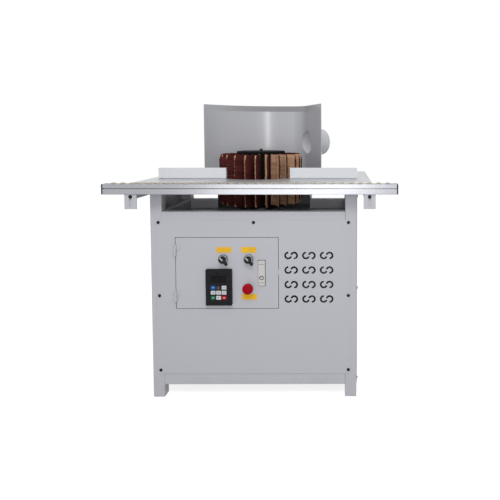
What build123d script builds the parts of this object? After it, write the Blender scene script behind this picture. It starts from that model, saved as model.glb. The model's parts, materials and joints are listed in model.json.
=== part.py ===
from build123d import *
import math
import os

# Brush sanding machine. Millimetres, X to the right, Y to the back, Z up.
# Depths are measured backwards from the front face of the roller rail. The origin is on
# the floor, at the middle of the box that holds the whole machine.

# Table and roller rail
table_height = 846
table_width = 910
table_thickness = 12
table_front_depth = 42
table_back_depth = 608
table_corner_radius = 4
rail_length = 1100
rail_height = 38
rail_drop = 2
rail_depth = 40
rail_cap_thickness = 5
rail_groove_drop = 16
rail_groove_height = 3
rail_groove_depth = 6
rail_channel_width = 16
rail_channel_depth = 32
rail_lift = 35

# Rollers in the rail
roller_pitch = 34.2
roller_end_gap = 35
roller_radius = 14
roller_width = 14
roller_rise = 5
axle_radius = 3
axle_length = 30
axle_end_gap = 1

# Cabinet frame
cabinet_width = 796
cabinet_depth = 400
cabinet_setback = 65
leg_size = 45
tube_wall = 2.5
tube_corner = 4
under_tube = 30
under_tube_inset = 5
lower_rail_bottom = 49
header_top = 732

# Sheet metal
sheet = 2
front_panel_margin = 24
rear_panel_margin = 10
panel_top = 701
panel_bottom = 94
rear_panel_top = 686
side_panel_margin = 10
screw_head_radius = 6.2
screw_crown_radius = 3.6
screw_head_height = 3
screw_shank_radius = 3
screw_inset_x = 32
screw_inset_low = 15
screw_inset_top = 11
screw_middle_height = 404

# Vent slots: pairs of arcs that face each other
vent_columns = 3
vent_rows = 4
vent_pitch_x = 68.6
vent_pitch_z = 57
vent_middle_x = 213
vent_middle_z = 475.5
vent_arc_offset = 11.4
vent_arc_radius = 11.5
vent_slot = 7.2
vent_start_angle = 102
vent_sweep_angle = 228

# Control door and its box
door_left = -301
door_width = 395
door_bottom = 354
door_height = 277
door_gap = 2
door_fold = 14
box_margin = 18
box_depth = 120
hinge_height = 44
hinge_top_z = 583
hinge_low_z = 404
hinge_leaf_width = 17
hinge_leaf_thickness = 2
knuckle_radius = 5
hinge_pin_radius = 2.5

# Speed controller on the door
controller_x = -133.5
controller_z = 439.5
controller_width = 100
controller_corner = 2
controller_height = 140
controller_rise = 14
controller_body_width = 90
controller_body_height = 128
controller_body_depth = 90
keypad_width = 74
keypad_height = 116
keypad_thickness = 6
keypad_drop = 3.5
keypad_corner = 2
notch_radius = 11
screen_width = 58
screen_height = 27
screen_z = 473.5
screen_recess = 1.2
key_width = 18
key_height = 14.5
key_pitch_x = 21
key_pitch_z = 19.7
key_top_z = 440.2
key_rise = 1.5
key_body = 4
key_travel = 1
key_gap = 0.25
key_corner = 2
knob_radius = 7.5
knob_rise = 7
knob_chamfer = 1
knob_stem_radius = 3

# Selector switches
selector_left_x = -117.5
selector_right_x = -19.5
selector_z = 548.5
bezel_radius = 17
bezel_rise = 12
bezel_chamfer = 2.5
barrel_radius = 11
selector_boss_radius = 13.5
selector_boss_height = 11
selector_boss_chamfer = 1
selector_handle_depth = 8
selector_handle_length = 28
selector_handle_width = 10
selector_handle_angle = -47.5
selector_stem_radius = 5
block_size = 30
block_corner = 2
block_depth = 42

# Emergency stop
stop_x = -20
stop_z = 437
stop_head_radius = 20.5
stop_head_height = 14
stop_head_crown = 2
stop_head_round = 4
stop_collar_radius = 15
stop_collar_rise = 11
stop_collar_chamfer = 2
stop_head_gap = 1
stop_travel = 5
stop_stem_radius = 6
stop_neck = 6

# Flush lever lock
lock_x = 30.6
lock_z = 493.5
lock_width = 27
lock_height = 98
lock_rise = 5
lock_wall = 3
lock_body_depth = 26
lock_end_margin = 6
lock_corner = 4
lever_top_z = 527
lever_bottom_z = 457
lever_thickness = 5
lever_pin_radius = 2
button_z = 475
button_radius = 6
button_rise = 1.5
button_chamfer = 1
button_end_gap = 1
button_travel = 3
lever_gap = 0.3
lever_floor_gap = 1
lever_end_gap = 1.5
lever_pin_drop = 5
lever_pin_inset = 3.5
pin_hole_wall = 1
lever_hole_gap = 1.4
bolt_z = 495
bolt_inset = 1.5
bolt_overlap = 10
bolt_height = 18
bolt_thickness = 4

# Slotted brackets and arms that carry the roller rail
bracket_x = 444
bracket_width = 45
bracket_thickness = 4
bracket_front_depth = 3
bracket_bottom = 751
arm_width = 40
arm_thickness = 14
arm_tongue_thickness = 3
arm_tongue_margin = 5
clamp_bolt_radius = 4
clamp_head_radius = 7
clamp_head_height = 2.5
clamp_slot_gap = 0.5
clamp_bolt_grip = 20

# Fences
fence_length = 277
fence_height = 45
fence_thickness = 18
fence_wall = 2.5
fence_corner = 1
fence_base = 7
fence_rebate_height = 3
fence_rebate_depth = 5
fence_front_depth = 200
fence_outer_x = 409
fence_offset_x = -5.5
fence_travel = 25
fence_foot_width = 34
fence_foot_length = 58
fence_foot_thickness = 5
fence_foot_inset = 32
fence_foot_pitch = 105
fence_bolt_radius = 4
fence_slot_gap = 0.5
fence_bolt_head_radius = 8
fence_bolt_head_height = 7

# Flap brush
brush_x = -18
brush_depth = 355
brush_radius = 180
brush_bottom = 727
brush_height = 218
core_radius = 100
core_rim = 30
core_web = 14
core_hub_radius = 36
disc_radius = 105.5
disc_thickness = 11
disc_chamfer = 2
flap_count = 24
flap_start_angle = 6
flap_lean = 11
flap_slot_depth = 18
flap_slot_width = 9
abrasive_thickness = 2
abrasive_corner = 14
slash_count = 9
slash_length = 62
slash_width = 1.2
strand_count = 16
strand_thickness = 5.2
strand_height = 10.5
strand_taper = 0.5
strand_shortfall = 4
pack_clearance = 0.2
table_hole_clearance = 10
centre_screw_radius = 6.5
centre_screw_height = 10
centre_washer_radius = 27
centre_thread_radius = 3.2
centre_thread_depth = 30
centre_thread_end_gap = 1

# Dust hood and port
hood_left_x = -289
hood_left_depth = 420
hood_right_x = 249
hood_right_depth = 367
hood_back_depth = 592
hood_flat_start_x = 30
hood_corner_x = 150
hood_corner_radius = 70
hood_height = 321
hood_lip_height = 26
hood_lip_lean = 12
hood_flange = 20
hood_screw_count = 6
port_x = 178
port_depth = 536
port_z = 993
port_angle = 45
port_radius = 60
port_wall = 2.5
port_bead = 2
port_bead_length = 8
port_length = 86
port_hole_radius = 55

# Guard round the low part of the brush, behind the cabinet
guard_side_gap = 32
guard_back_gap = 21
guard_flange = 18

# Spindle, motor and lift
spindle_radius = 20
running_clearance = 0.05
bearing_outer_radius = 40
bearing_width = 18
bearing_groove = 3
housing_radius = 56
housing_flange_radius = 78
housing_flange_thickness = 12
housing_top_gap = 26
carriage_z = 545
carriage_thickness = 12
carriage_width = 372
carriage_front_depth = 192
carriage_back_depth = 436
motor_radius = 80
motor_fin = 8
motor_fin_thickness = 4
motor_fin_count = 24
motor_height = 250
motor_flange_radius = 98
motor_flange_thickness = 12
motor_box_size = 80
motor_bore_depth = 120
motor_bore_end_gap = 1
motor_box_rise = 27
motor_cover_height = 36
lift_plate_half_width = 242
lift_plate_thickness = 10
lift_plate_margin = 5
column_radius = 15
column_spread = 150
boss_radius = 24
boss_length = 48
screw_depth = 226
screw_radius = 12
screw_journal_radius = 8
screw_journal_length = 40
screw_end_gap = 1
gearbox_size = 84
gearbox_height = 120
lift_motor_radius = 38
lift_motor_length = 150

# Switchgear and gland
rail_din_height = 35
rail_din_thickness = 7
contactor_width = 45
contactor_height = 74
contactor_depth = 60
terminal_width = 90
terminal_height = 42
terminal_depth = 38
switchgear_rise = 59
gland_x = 300
gland_z = 150
gland_radius = 14
gland_length = 30
gland_mouth_radius = 10
gland_bore_radius = 6

# Places worked out from the sizes above
slant = math.cos(math.radians(port_angle))
overall_depth = port_depth + (port_length + port_radius + port_bead) * slant
half_cabinet = cabinet_width / 2
leg_x = half_cabinet - leg_size / 2
leg_front = cabinet_setback + leg_size / 2
leg_rear = cabinet_setback + cabinet_depth - leg_size / 2
cabinet_back = cabinet_setback + cabinet_depth
inner_half = half_cabinet - leg_size
table_bottom = table_height - table_thickness
leg_top = table_bottom - under_tube
rail_top = table_height - rail_drop
rail_bottom = rail_top - rail_height
panel_front = cabinet_setback - sheet
door_right = door_left + door_width
door_x = door_left + door_width / 2
door_z = door_bottom + door_height / 2
guard_left = brush_x - brush_radius - guard_side_gap
guard_right = brush_x + brush_radius + guard_side_gap
guard_back_depth = brush_depth + brush_radius + guard_back_gap
lower_rail_top = lower_rail_bottom + leg_size
header_bottom = header_top - leg_size
brush_top = brush_bottom + brush_height
spindle_top = brush_top + disc_thickness
roller_z = rail_top + roller_rise - roller_radius
roller_count = int((rail_length - 2 * roller_end_gap) / roller_pitch) + 1
clamp_bolt_z = leg_top - arm_thickness / 2
hood_top = table_height + hood_height
carriage_top = carriage_z + carriage_thickness
motor_top = carriage_z
motor_bottom = motor_top - motor_height
housing_top = brush_bottom - disc_thickness - housing_top_gap
lift_plate_top = header_bottom
lift_base_top = lower_rail_top + lift_plate_thickness
gearbox_top = lift_base_top + gearbox_height
bolt_front = cabinet_setback + bolt_inset
fence_back_depth = fence_front_depth + fence_thickness
fence_bolt_depth = fence_back_depth + fence_foot_length / 2 - fence_travel / 2
fence_left = -fence_outer_x + fence_offset_x
fence_right = fence_outer_x + fence_offset_x
fence_bolts = [
    fence_left + fence_foot_inset,
    fence_left + fence_foot_inset + fence_foot_pitch,
    fence_right - fence_foot_inset - fence_foot_pitch,
    fence_right - fence_foot_inset,
]
os.makedirs("parts", exist_ok=True)


def depth_y(depth):
    """Y of a point that lies this far behind the rail's front face."""
    return depth - overall_depth / 2


def keep(builder, name):
    """Label a finished piece and write it."""
    builder.part.label = name
    export_step(builder.part, f"parts/{name}.step")


def facing_front(x, depth, z):
    """A plane that faces the operator, with X to the right and Z up."""
    return Plane((x, depth_y(depth), z), x_dir=(1, 0, 0), z_dir=(0, -1, 0))


def facing_right(x, depth, z):
    """A plane that faces along X, with Y and Z in it."""
    return Plane((x, depth_y(depth), z), x_dir=(0, 1, 0), z_dir=(1, 0, 0))


def facing_up(x, depth, z):
    """A level plane."""
    return Plane((x, depth_y(depth), z))


def block(x, depth, z, mode=Mode.ADD):
    """A box between two values of X, depth and Z."""
    with Locations(((x[0] + x[1]) / 2, depth_y((depth[0] + depth[1]) / 2), (z[0] + z[1]) / 2)):
        Box(x[1] - x[0], depth[1] - depth[0], z[1] - z[0], mode=mode)


def tube(plane, length, size):
    """A square tube that runs along a plane's normal."""
    with BuildSketch(plane) as section:
        RectangleRounded(size, size, tube_corner)
        Rectangle(size - 2 * tube_wall, size - 2 * tube_wall, mode=Mode.SUBTRACT)
    extrude(section.sketch, amount=length)


def turned(points, x, depth, mode=Mode.ADD):
    """A piece turned about an upright axis, from points of radius and height."""
    with BuildSketch(facing_front(x, depth, 0)) as section:
        with BuildLine():
            Polyline(*points, close=True)
        make_face()
    revolve(section.sketch, axis=Axis((x, depth_y(depth), 0), (0, 0, 1)), mode=mode)


def turned_level(points, x, z, mode=Mode.ADD):
    """A piece turned about an axis along Y, from points of radius and depth."""
    with BuildSketch(Plane((x, 0, z))) as section:
        with BuildLine():
            Polyline(*[(radius, depth_y(depth)) for radius, depth in points], close=True)
        make_face()
    revolve(section.sketch, axis=Axis((x, 0, z), (0, 1, 0)), mode=mode)


# Four legs
with BuildPart() as frame_legs:
    for side in (-1, 1):
        for depth in (leg_front, leg_rear):
            tube(facing_up(side * leg_x, depth, 0), leg_top, leg_size)
keep(frame_legs, "frame_legs")

# Rails between the legs. The rear header stops at each side of the brush.
with BuildPart() as frame_rails:
    lower_z = lower_rail_bottom + leg_size / 2
    header_z = header_top - leg_size / 2
    side_rail_length = cabinet_depth - 2 * leg_size
    for depth in (leg_front, leg_rear):
        tube(facing_right(-inner_half, depth, lower_z), 2 * inner_half, leg_size)
    tube(facing_right(-inner_half, leg_front, header_z), 2 * inner_half, leg_size)
    tube(facing_right(-inner_half, leg_rear, header_z), guard_left + inner_half, leg_size)
    tube(facing_right(guard_right, leg_rear, header_z), inner_half - guard_right, leg_size)
    for side in (-1, 1):
        for z in (lower_z, header_z):
            tube(facing_front(side * leg_x, leg_rear - leg_size / 2, z), side_rail_length, leg_size)
keep(frame_rails, "frame_rails")

# Tubes under the table, on top of the legs
with BuildPart() as table_frame:
    under_z = leg_top + under_tube / 2
    under_half = table_width / 2 - under_tube_inset
    under_front = cabinet_setback + under_tube / 2
    under_rear = cabinet_back - under_tube / 2
    tube(facing_right(-under_half, under_front, under_z), 2 * under_half, under_tube)
    tube(facing_right(-under_half, under_rear, under_z), guard_left + under_half, under_tube)
    tube(facing_right(guard_right, under_rear, under_z), under_half - guard_right, under_tube)
    side_start = under_rear - under_tube / 2 - pack_clearance
    side_run = cabinet_depth - 2 * under_tube - 2 * pack_clearance
    for side in (-1, 1):
        tube(facing_front(side * leg_x, side_start, under_z), side_run, under_tube)
keep(table_frame, "table_frame")

# Table plate with the round opening for the brush
with BuildPart() as table_plate:
    table_depth = table_back_depth - table_front_depth
    table_middle = table_front_depth + table_depth / 2
    with BuildSketch(facing_up(0, table_middle, table_bottom)):
        RectangleRounded(table_width, table_depth, table_corner_radius)
        with Locations((brush_x, brush_depth - table_middle)):
            Circle(brush_radius + table_hole_clearance, mode=Mode.SUBTRACT)
        with Locations(*[(x, fence_bolt_depth - table_middle) for x in fence_bolts]):
            Circle(fence_bolt_radius + running_clearance, mode=Mode.SUBTRACT)
    extrude(amount=table_thickness)
keep(table_plate, "table_plate")

# Front panel with the door opening and the vent slots
panel_height = panel_top - panel_bottom
panel_half = half_cabinet - front_panel_margin
panel_screws = [
    (-half_cabinet + screw_inset_x, panel_top - screw_inset_top),
    (0, panel_top - screw_inset_top),
    (half_cabinet - screw_inset_x, panel_top - screw_inset_top),
    (-half_cabinet + screw_inset_x, screw_middle_height),
    (half_cabinet - screw_inset_x, screw_middle_height),
    (-half_cabinet + screw_inset_x, panel_bottom + screw_inset_low),
    (half_cabinet - screw_inset_x, panel_bottom + screw_inset_low),
]
left_vent_arc = CenterArc((-vent_arc_offset, 0), vent_arc_radius, vent_start_angle, vent_sweep_angle)
right_vent_arc = CenterArc((vent_arc_offset, 0), vent_arc_radius, vent_start_angle + 180, vent_sweep_angle)
with BuildPart() as front_panel:
    with BuildSketch(facing_front(0, panel_front, 0)):
        with Locations((0, panel_bottom + panel_height / 2)):
            Rectangle(2 * panel_half, panel_height)
        with Locations((door_x, door_z)):
            Rectangle(door_width + 2 * door_gap, door_height + 2 * door_gap, mode=Mode.SUBTRACT)
        with Locations(*panel_screws):
            Circle(screw_shank_radius, mode=Mode.SUBTRACT)
        with Locations((vent_middle_x, vent_middle_z)):
            with GridLocations(vent_pitch_x, vent_pitch_z, vent_columns, vent_rows):
                SlotArc(left_vent_arc, vent_slot, mode=Mode.SUBTRACT)
                SlotArc(right_vent_arc, vent_slot, mode=Mode.SUBTRACT)
    extrude(amount=-sheet)
keep(front_panel, "front_panel")

with BuildPart() as panel_screw_set:
    for x, z in panel_screws:
        head_front = panel_front - screw_head_height
        turned_level(
            [
                (0, head_front),
                (screw_crown_radius, head_front),
                (screw_head_radius, head_front + screw_head_height / 2),
                (screw_head_radius, panel_front),
                (screw_shank_radius - running_clearance, panel_front),
                (screw_shank_radius - running_clearance, cabinet_setback),
                (0, cabinet_setback),
            ],
            x,
            z,
        )
keep(panel_screw_set, "panel_screws")

# Side panels, outside the legs, and the rear panel
with BuildPart() as side_panels:
    for side in (-1, 1):
        outer = half_cabinet + sheet / 2
        with BuildSketch(facing_right(side * outer - sheet / 2, cabinet_setback + cabinet_depth / 2, 0)):
            with Locations((0, (leg_top + lower_rail_bottom) / 2)):
                RectangleRounded(
                    cabinet_depth - 2 * side_panel_margin,
                    leg_top - lower_rail_bottom,
                    table_corner_radius,
                )
        extrude(amount=sheet)
keep(side_panels, "side_panels")

with BuildPart() as rear_panel:
    with BuildSketch(facing_front(0, cabinet_back, (rear_panel_top + panel_bottom) / 2)):
        Rectangle(2 * (half_cabinet - rear_panel_margin), rear_panel_top - panel_bottom)
        with Locations((gland_x, gland_z - (rear_panel_top + panel_bottom) / 2)):
            Circle(gland_bore_radius + screw_shank_radius, mode=Mode.SUBTRACT)
    extrude(amount=-sheet)
keep(rear_panel, "rear_panel")

with BuildPart() as cable_gland:
    neck = gland_bore_radius + screw_shank_radius - running_clearance
    turned_level(
        [
            (gland_bore_radius, cabinet_back - sheet),
            (neck, cabinet_back - sheet),
            (neck, cabinet_back + sheet),
            (gland_radius, cabinet_back + sheet),
            (gland_radius, cabinet_back + gland_length / 2),
            (gland_mouth_radius, cabinet_back + gland_length),
            (gland_bore_radius, cabinet_back + gland_length),
        ],
        gland_x,
        gland_z,
    )
keep(cable_gland, "cable_gland")

# Electrical box behind the door, with a mounting rail and switchgear in it
box_back = cabinet_setback + box_depth
with BuildPart() as electrical_box:
    with BuildSketch(facing_front(door_x, cabinet_setback, door_z)):
        Rectangle(door_width + 2 * box_margin, door_height + 2 * box_margin)
    extrude(amount=-box_depth)
    with BuildSketch(facing_front(door_x, cabinet_setback, door_z)):
        Rectangle(door_width + 2 * box_margin - 2 * sheet, door_height + 2 * box_margin - 2 * sheet)
    extrude(amount=sheet - box_depth, mode=Mode.SUBTRACT)
keep(electrical_box, "electrical_box")

with BuildPart() as switchgear:
    gear_back = box_back - sheet
    gear_front = gear_back - rail_din_thickness
    gear_z = door_z + switchgear_rise
    gear_left = door_left + box_margin
    block(
        (gear_left, door_right - box_margin),
        (gear_front, gear_back),
        (gear_z - rail_din_height / 2, gear_z + rail_din_height / 2),
    )
    for index in range(2):
        contactor_x = gear_left + box_margin + index * (contactor_width + box_margin)
        block(
            (contactor_x, contactor_x + contactor_width),
            (gear_front - contactor_depth, gear_front),
            (gear_z - contactor_height / 2, gear_z + contactor_height / 2),
        )
    terminal_x = door_right - 2 * box_margin
    block(
        (terminal_x - terminal_width, terminal_x),
        (gear_front - terminal_depth, gear_front),
        (gear_z - terminal_height / 2, gear_z + terminal_height / 2),
    )
keep(switchgear, "switchgear")

# Control door: a tray of folded sheet with openings for what is mounted on it
lock_body_width = lock_width - lock_wall
lock_body_height = lock_height - 2 * lock_end_margin
with BuildPart() as control_door:
    with BuildSketch(facing_front(0, panel_front, 0)):
        with Locations((door_x, door_z)):
            Rectangle(door_width, door_height)
    extrude(amount=-door_fold)
    with BuildSketch(facing_front(0, panel_front + sheet, 0)):
        with Locations((door_x, door_z)):
            Rectangle(door_width - 2 * sheet, door_height - 2 * sheet)
    extrude(amount=sheet - door_fold, mode=Mode.SUBTRACT)
    with BuildSketch(facing_front(0, panel_front, 0)):
        with Locations((selector_left_x, selector_z), (selector_right_x, selector_z), (stop_x, stop_z)):
            Circle(barrel_radius + pack_clearance)
        with Locations((controller_x, controller_z)):
            Rectangle(
                controller_body_width + 2 * pack_clearance,
                controller_body_height + 2 * pack_clearance,
            )
        with Locations((lock_x, lock_z)):
            Rectangle(lock_body_width + 2 * pack_clearance, lock_body_height + 2 * pack_clearance)
    extrude(amount=-sheet, mode=Mode.SUBTRACT)
    with BuildSketch(facing_right(door_right, bolt_front + bolt_thickness / 2, bolt_z)):
        Rectangle(bolt_thickness + 2 * lever_gap, bolt_height + 2 * lever_gap)
    extrude(amount=-sheet, mode=Mode.SUBTRACT)
keep(control_door, "control_door")

# Lift-off hinges: lower knuckle on the panel, upper knuckle and pin on the door
hinge_x = door_left - door_gap / 2
hinge_depth = panel_front - knuckle_radius
half_hinge = hinge_height / 2
with BuildPart() as hinge_frame_leaves:
    for z in (hinge_top_z, hinge_low_z):
        with BuildSketch(facing_up(hinge_x, hinge_depth, z - half_hinge)):
            Circle(knuckle_radius)
            with Locations((-hinge_leaf_width / 2, knuckle_radius - hinge_leaf_thickness / 2)):
                Rectangle(hinge_leaf_width, hinge_leaf_thickness)
            Circle(hinge_pin_radius + running_clearance, mode=Mode.SUBTRACT)
        extrude(amount=half_hinge - pack_clearance)
keep(hinge_frame_leaves, "hinge_frame_leaves")

with BuildPart() as hinge_door_leaves:
    for z in (hinge_top_z, hinge_low_z):
        with BuildSketch(facing_up(hinge_x, hinge_depth, z)):
            Circle(knuckle_radius)
            with Locations((hinge_leaf_width / 2, knuckle_radius - hinge_leaf_thickness / 2)):
                Rectangle(hinge_leaf_width, hinge_leaf_thickness)
        extrude(amount=half_hinge)
        with BuildSketch(facing_up(hinge_x, hinge_depth, z)):
            Circle(hinge_pin_radius)
        extrude(amount=-half_hinge)
keep(hinge_door_leaves, "hinge_door_leaves")

# Speed controller: case, lift-out keypad, screen, keys and knob
controller_front = panel_front - controller_rise
keypad_z = controller_z - keypad_drop
key_places = [
    (column, row)
    for row in range(3)
    for column in range(3)
    if (column, row) != (1, 0)
]


def key_centre(column, row):
    """X and Z of the middle of a key."""
    return controller_x + (column - 1) * key_pitch_x, key_top_z - row * key_pitch_z


knob_x, knob_z = key_centre(1, 0)
pocket_depth = key_body + key_travel
with BuildPart() as controller_case:
    with BuildSketch(facing_front(controller_x, controller_front, controller_z)):
        RectangleRounded(controller_width, controller_height, controller_corner)
    extrude(amount=-controller_rise)
    with BuildSketch(facing_front(controller_x, panel_front, controller_z)):
        Rectangle(controller_body_width, controller_body_height)
    extrude(amount=-controller_body_depth)
    with BuildSketch(facing_front(controller_x, controller_front, keypad_z)):
        Rectangle(keypad_width + 2 * pack_clearance, keypad_height + 2 * pack_clearance)
        with Locations((0, keypad_height / 2)):
            Circle(notch_radius)
    extrude(amount=-keypad_thickness, mode=Mode.SUBTRACT)
    for column, row in key_places:
        x, z = key_centre(column, row)
        with BuildSketch(facing_front(x, controller_front, z)):
            Rectangle(key_width + 2 * key_gap, key_height + 2 * key_gap)
        extrude(amount=-keypad_thickness - pocket_depth, mode=Mode.SUBTRACT)
    with BuildSketch(facing_front(knob_x, controller_front, knob_z)):
        Circle(knob_stem_radius + running_clearance)
    extrude(amount=-keypad_thickness - pocket_depth, mode=Mode.SUBTRACT)
keep(controller_case, "controller_case")

with BuildPart() as controller_keypad:
    with BuildSketch(facing_front(controller_x, controller_front, keypad_z)):
        RectangleRounded(keypad_width, keypad_height, keypad_corner)
    extrude(amount=-keypad_thickness)
    with BuildSketch(facing_front(controller_x, controller_front, screen_z)):
        Rectangle(screen_width, screen_height)
    extrude(amount=-screen_recess, mode=Mode.SUBTRACT)
    for column, row in key_places:
        x, z = key_centre(column, row)
        with BuildSketch(facing_front(x, controller_front, z)):
            Rectangle(key_width + 2 * key_gap, key_height + 2 * key_gap)
        extrude(amount=-keypad_thickness, mode=Mode.SUBTRACT)
    with BuildSketch(facing_front(knob_x, controller_front, knob_z)):
        Circle(knob_stem_radius + running_clearance)
    extrude(amount=-keypad_thickness, mode=Mode.SUBTRACT)
keep(controller_keypad, "controller_keypad")

key_length = keypad_thickness + key_body + key_rise
for column, row in key_places:
    x, z = key_centre(column, row)
    with BuildPart() as controller_key:
        with BuildSketch(facing_front(x, controller_front - key_rise, z)):
            RectangleRounded(key_width, key_height, key_corner)
        extrude(amount=-key_length)
    keep(controller_key, f"key_{row + 1}_{column + 1}")

with BuildPart() as speed_knob:
    knob_back = controller_front - pack_clearance
    knob_front = knob_back - knob_rise
    turned_level(
        [
            (0, knob_front),
            (knob_radius - knob_chamfer, knob_front),
            (knob_radius, knob_front + knob_chamfer),
            (knob_radius, knob_back),
            (knob_stem_radius, knob_back),
            (knob_stem_radius, controller_front + keypad_thickness + key_body),
            (0, controller_front + keypad_thickness + key_body),
        ],
        knob_x,
        knob_z,
    )
keep(speed_knob, "speed_knob")

# Selector switches: fixed bezel, barrel and contact block, and a turning handle
bezel_front = panel_front - bezel_rise
block_front = panel_front + door_fold
with BuildPart() as selector_bodies:
    for x in (selector_left_x, selector_right_x):
        turned_level(
            [
                (selector_stem_radius + running_clearance, bezel_front),
                (bezel_radius - bezel_chamfer, bezel_front),
                (bezel_radius, bezel_front + bezel_chamfer),
                (bezel_radius, panel_front),
                (barrel_radius, panel_front),
                (barrel_radius, block_front),
                (selector_stem_radius + running_clearance, block_front),
            ],
            x,
            selector_z,
        )
        with BuildSketch(facing_front(x, block_front, selector_z)):
            RectangleRounded(block_size, block_size, block_corner)
        extrude(amount=-block_depth)
keep(selector_bodies, "selector_bodies")


def selector_knob(x):
    """A boss with a long handle on one side, and a stem that runs into the barrel."""
    boss_back = bezel_front - pack_clearance
    boss_front = boss_back - selector_boss_height
    turned_level(
        [
            (0, boss_front),
            (selector_boss_radius - selector_boss_chamfer, boss_front),
            (selector_boss_radius, boss_front + selector_boss_chamfer),
            (selector_boss_radius, boss_back),
            (selector_stem_radius, boss_back),
            (selector_stem_radius, block_front - pack_clearance),
            (0, block_front - pack_clearance),
        ],
        x,
        selector_z,
    )
    handle_reach = selector_handle_length - selector_handle_width / 2
    with BuildSketch(facing_front(x, boss_front, selector_z)) as handle:
        with Locations(Rotation(0, 0, selector_handle_angle)):
            SlotCenterPoint((handle_reach / 2, 0), (handle_reach, 0), selector_handle_width)
    extrude(handle.sketch, amount=-selector_handle_depth)


with BuildPart() as left_selector:
    selector_knob(selector_left_x)
keep(left_selector, "left_selector")

with BuildPart() as right_selector:
    selector_knob(selector_right_x)
keep(right_selector, "right_selector")

# Emergency stop: fixed collar and block, sliding stem, twisting head
collar_front = panel_front - stop_collar_rise
head_back = collar_front - stop_travel - stop_head_gap
head_front = head_back - stop_head_height
with BuildPart() as stop_body:
    turned_level(
        [
            (stop_stem_radius + running_clearance, collar_front),
            (stop_collar_radius - stop_collar_chamfer, collar_front),
            (stop_collar_radius, collar_front + stop_collar_chamfer),
            (stop_collar_radius, panel_front),
            (barrel_radius, panel_front),
            (barrel_radius, block_front),
            (stop_stem_radius + running_clearance, block_front),
        ],
        stop_x,
        stop_z,
    )
    with BuildSketch(facing_front(stop_x, block_front, stop_z)):
        RectangleRounded(block_size, block_size, block_corner)
        Circle(stop_stem_radius + running_clearance, mode=Mode.SUBTRACT)
    extrude(amount=-block_depth)
keep(stop_body, "stop_body")

neck_front = head_front + stop_head_height / 2
with BuildPart() as stop_stem:
    turned_level(
        [
            (0, neck_front),
            (stop_neck / 2, neck_front),
            (stop_neck / 2, head_back),
            (stop_stem_radius, head_back),
            (stop_stem_radius, block_front + stop_travel),
            (0, block_front + stop_travel),
        ],
        stop_x,
        stop_z,
    )
keep(stop_stem, "stop_stem")

with BuildPart() as stop_head:
    with BuildSketch(Plane((stop_x, 0, stop_z))) as head_section:
        with BuildLine():
            crown_top = (0, depth_y(head_front))
            crown_edge = (stop_head_radius, depth_y(head_front + stop_head_crown))
            TangentArc(crown_top, crown_edge, tangent=(1, 0))
            Polyline(
                crown_edge,
                (stop_head_radius, depth_y(head_back)),
                (stop_neck / 2 + running_clearance, depth_y(head_back)),
                (stop_neck / 2 + running_clearance, depth_y(neck_front)),
                (0, depth_y(neck_front)),
                crown_top,
            )
        make_face()
        fillet(head_section.vertices().group_by(Axis.X)[-1], radius=stop_head_round)
    revolve(axis=Axis((stop_x, 0, stop_z), (0, 1, 0)))
keep(stop_head, "stop_head")

# Flush lever lock: case, flip-out lever on its own pin, key button and bolt
lock_front = panel_front - lock_rise
lever_floor = lock_front + lever_thickness + lever_floor_gap
lever_pin_z = lever_top_z - lever_pin_drop
lever_pin_depth = lock_front + lever_pin_inset
lever_width = lock_width - 2 * lock_wall - 2 * lever_gap
lever_middle_z = (lever_top_z + lever_bottom_z) / 2
with BuildPart() as lock_case:
    with BuildSketch(facing_front(lock_x, lock_front, lock_z)):
        RectangleRounded(lock_width, lock_height, lock_corner)
    extrude(amount=-lock_rise)
    with BuildSketch(facing_front(lock_x, panel_front, lock_z)):
        Rectangle(lock_body_width, lock_body_height)
    extrude(amount=-lock_body_depth)
    pocket_half = lever_width / 2 + lever_gap
    block(
        (lock_x - pocket_half, lock_x + pocket_half),
        (lock_front, lever_floor),
        (lever_bottom_z - lever_end_gap, lever_top_z + lever_end_gap),
        mode=Mode.SUBTRACT,
    )
    block(
        (lock_x - pocket_half, lock_x + pocket_half),
        (lever_floor, lever_floor + lever_pin_drop),
        (lever_pin_z - lever_pin_drop, lever_top_z + lever_end_gap),
        mode=Mode.SUBTRACT,
    )
    with BuildSketch(facing_right(lock_x - lock_width / 2 + pin_hole_wall, lever_pin_depth, lever_pin_z)):
        Circle(lever_pin_radius + running_clearance)
    extrude(amount=lock_width - 2 * pin_hole_wall, mode=Mode.SUBTRACT)
    with BuildSketch(facing_front(lock_x, lever_floor, button_z)):
        Circle(button_radius + running_clearance)
    extrude(amount=-lock_body_depth + lock_wall, mode=Mode.SUBTRACT)
    with BuildSketch(facing_right(lock_x - lock_width / 2, bolt_front + bolt_thickness / 2, bolt_z)):
        Rectangle(bolt_thickness + 2 * pack_clearance, bolt_height + 2 * pack_clearance)
    extrude(amount=lock_width, mode=Mode.SUBTRACT)
keep(lock_case, "lock_case")

with BuildPart() as lock_lever:
    with BuildSketch(facing_front(lock_x, lock_front, lever_middle_z)):
        RectangleRounded(lever_width, lever_top_z - lever_bottom_z, lever_end_gap)
        with Locations((0, button_z - lever_middle_z)):
            Circle(button_radius + lever_hole_gap, mode=Mode.SUBTRACT)
    extrude(amount=-lever_thickness)
    with BuildSketch(facing_right(lock_x - lock_width / 2 + lock_wall / 2, lever_pin_depth, lever_pin_z)):
        Circle(lever_pin_radius)
    extrude(amount=lock_width - lock_wall)
keep(lock_lever, "lock_lever")

with BuildPart() as lock_button:
    button_front = lock_front - button_rise
    button_back = lever_floor + lock_body_depth - lock_wall - button_travel - button_end_gap
    turned_level(
        [
            (0, button_front),
            (button_radius - button_chamfer, button_front),
            (button_radius, button_front + button_chamfer),
            (button_radius, button_back),
            (0, button_back),
        ],
        lock_x,
        button_z,
    )
keep(lock_button, "lock_button")

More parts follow.
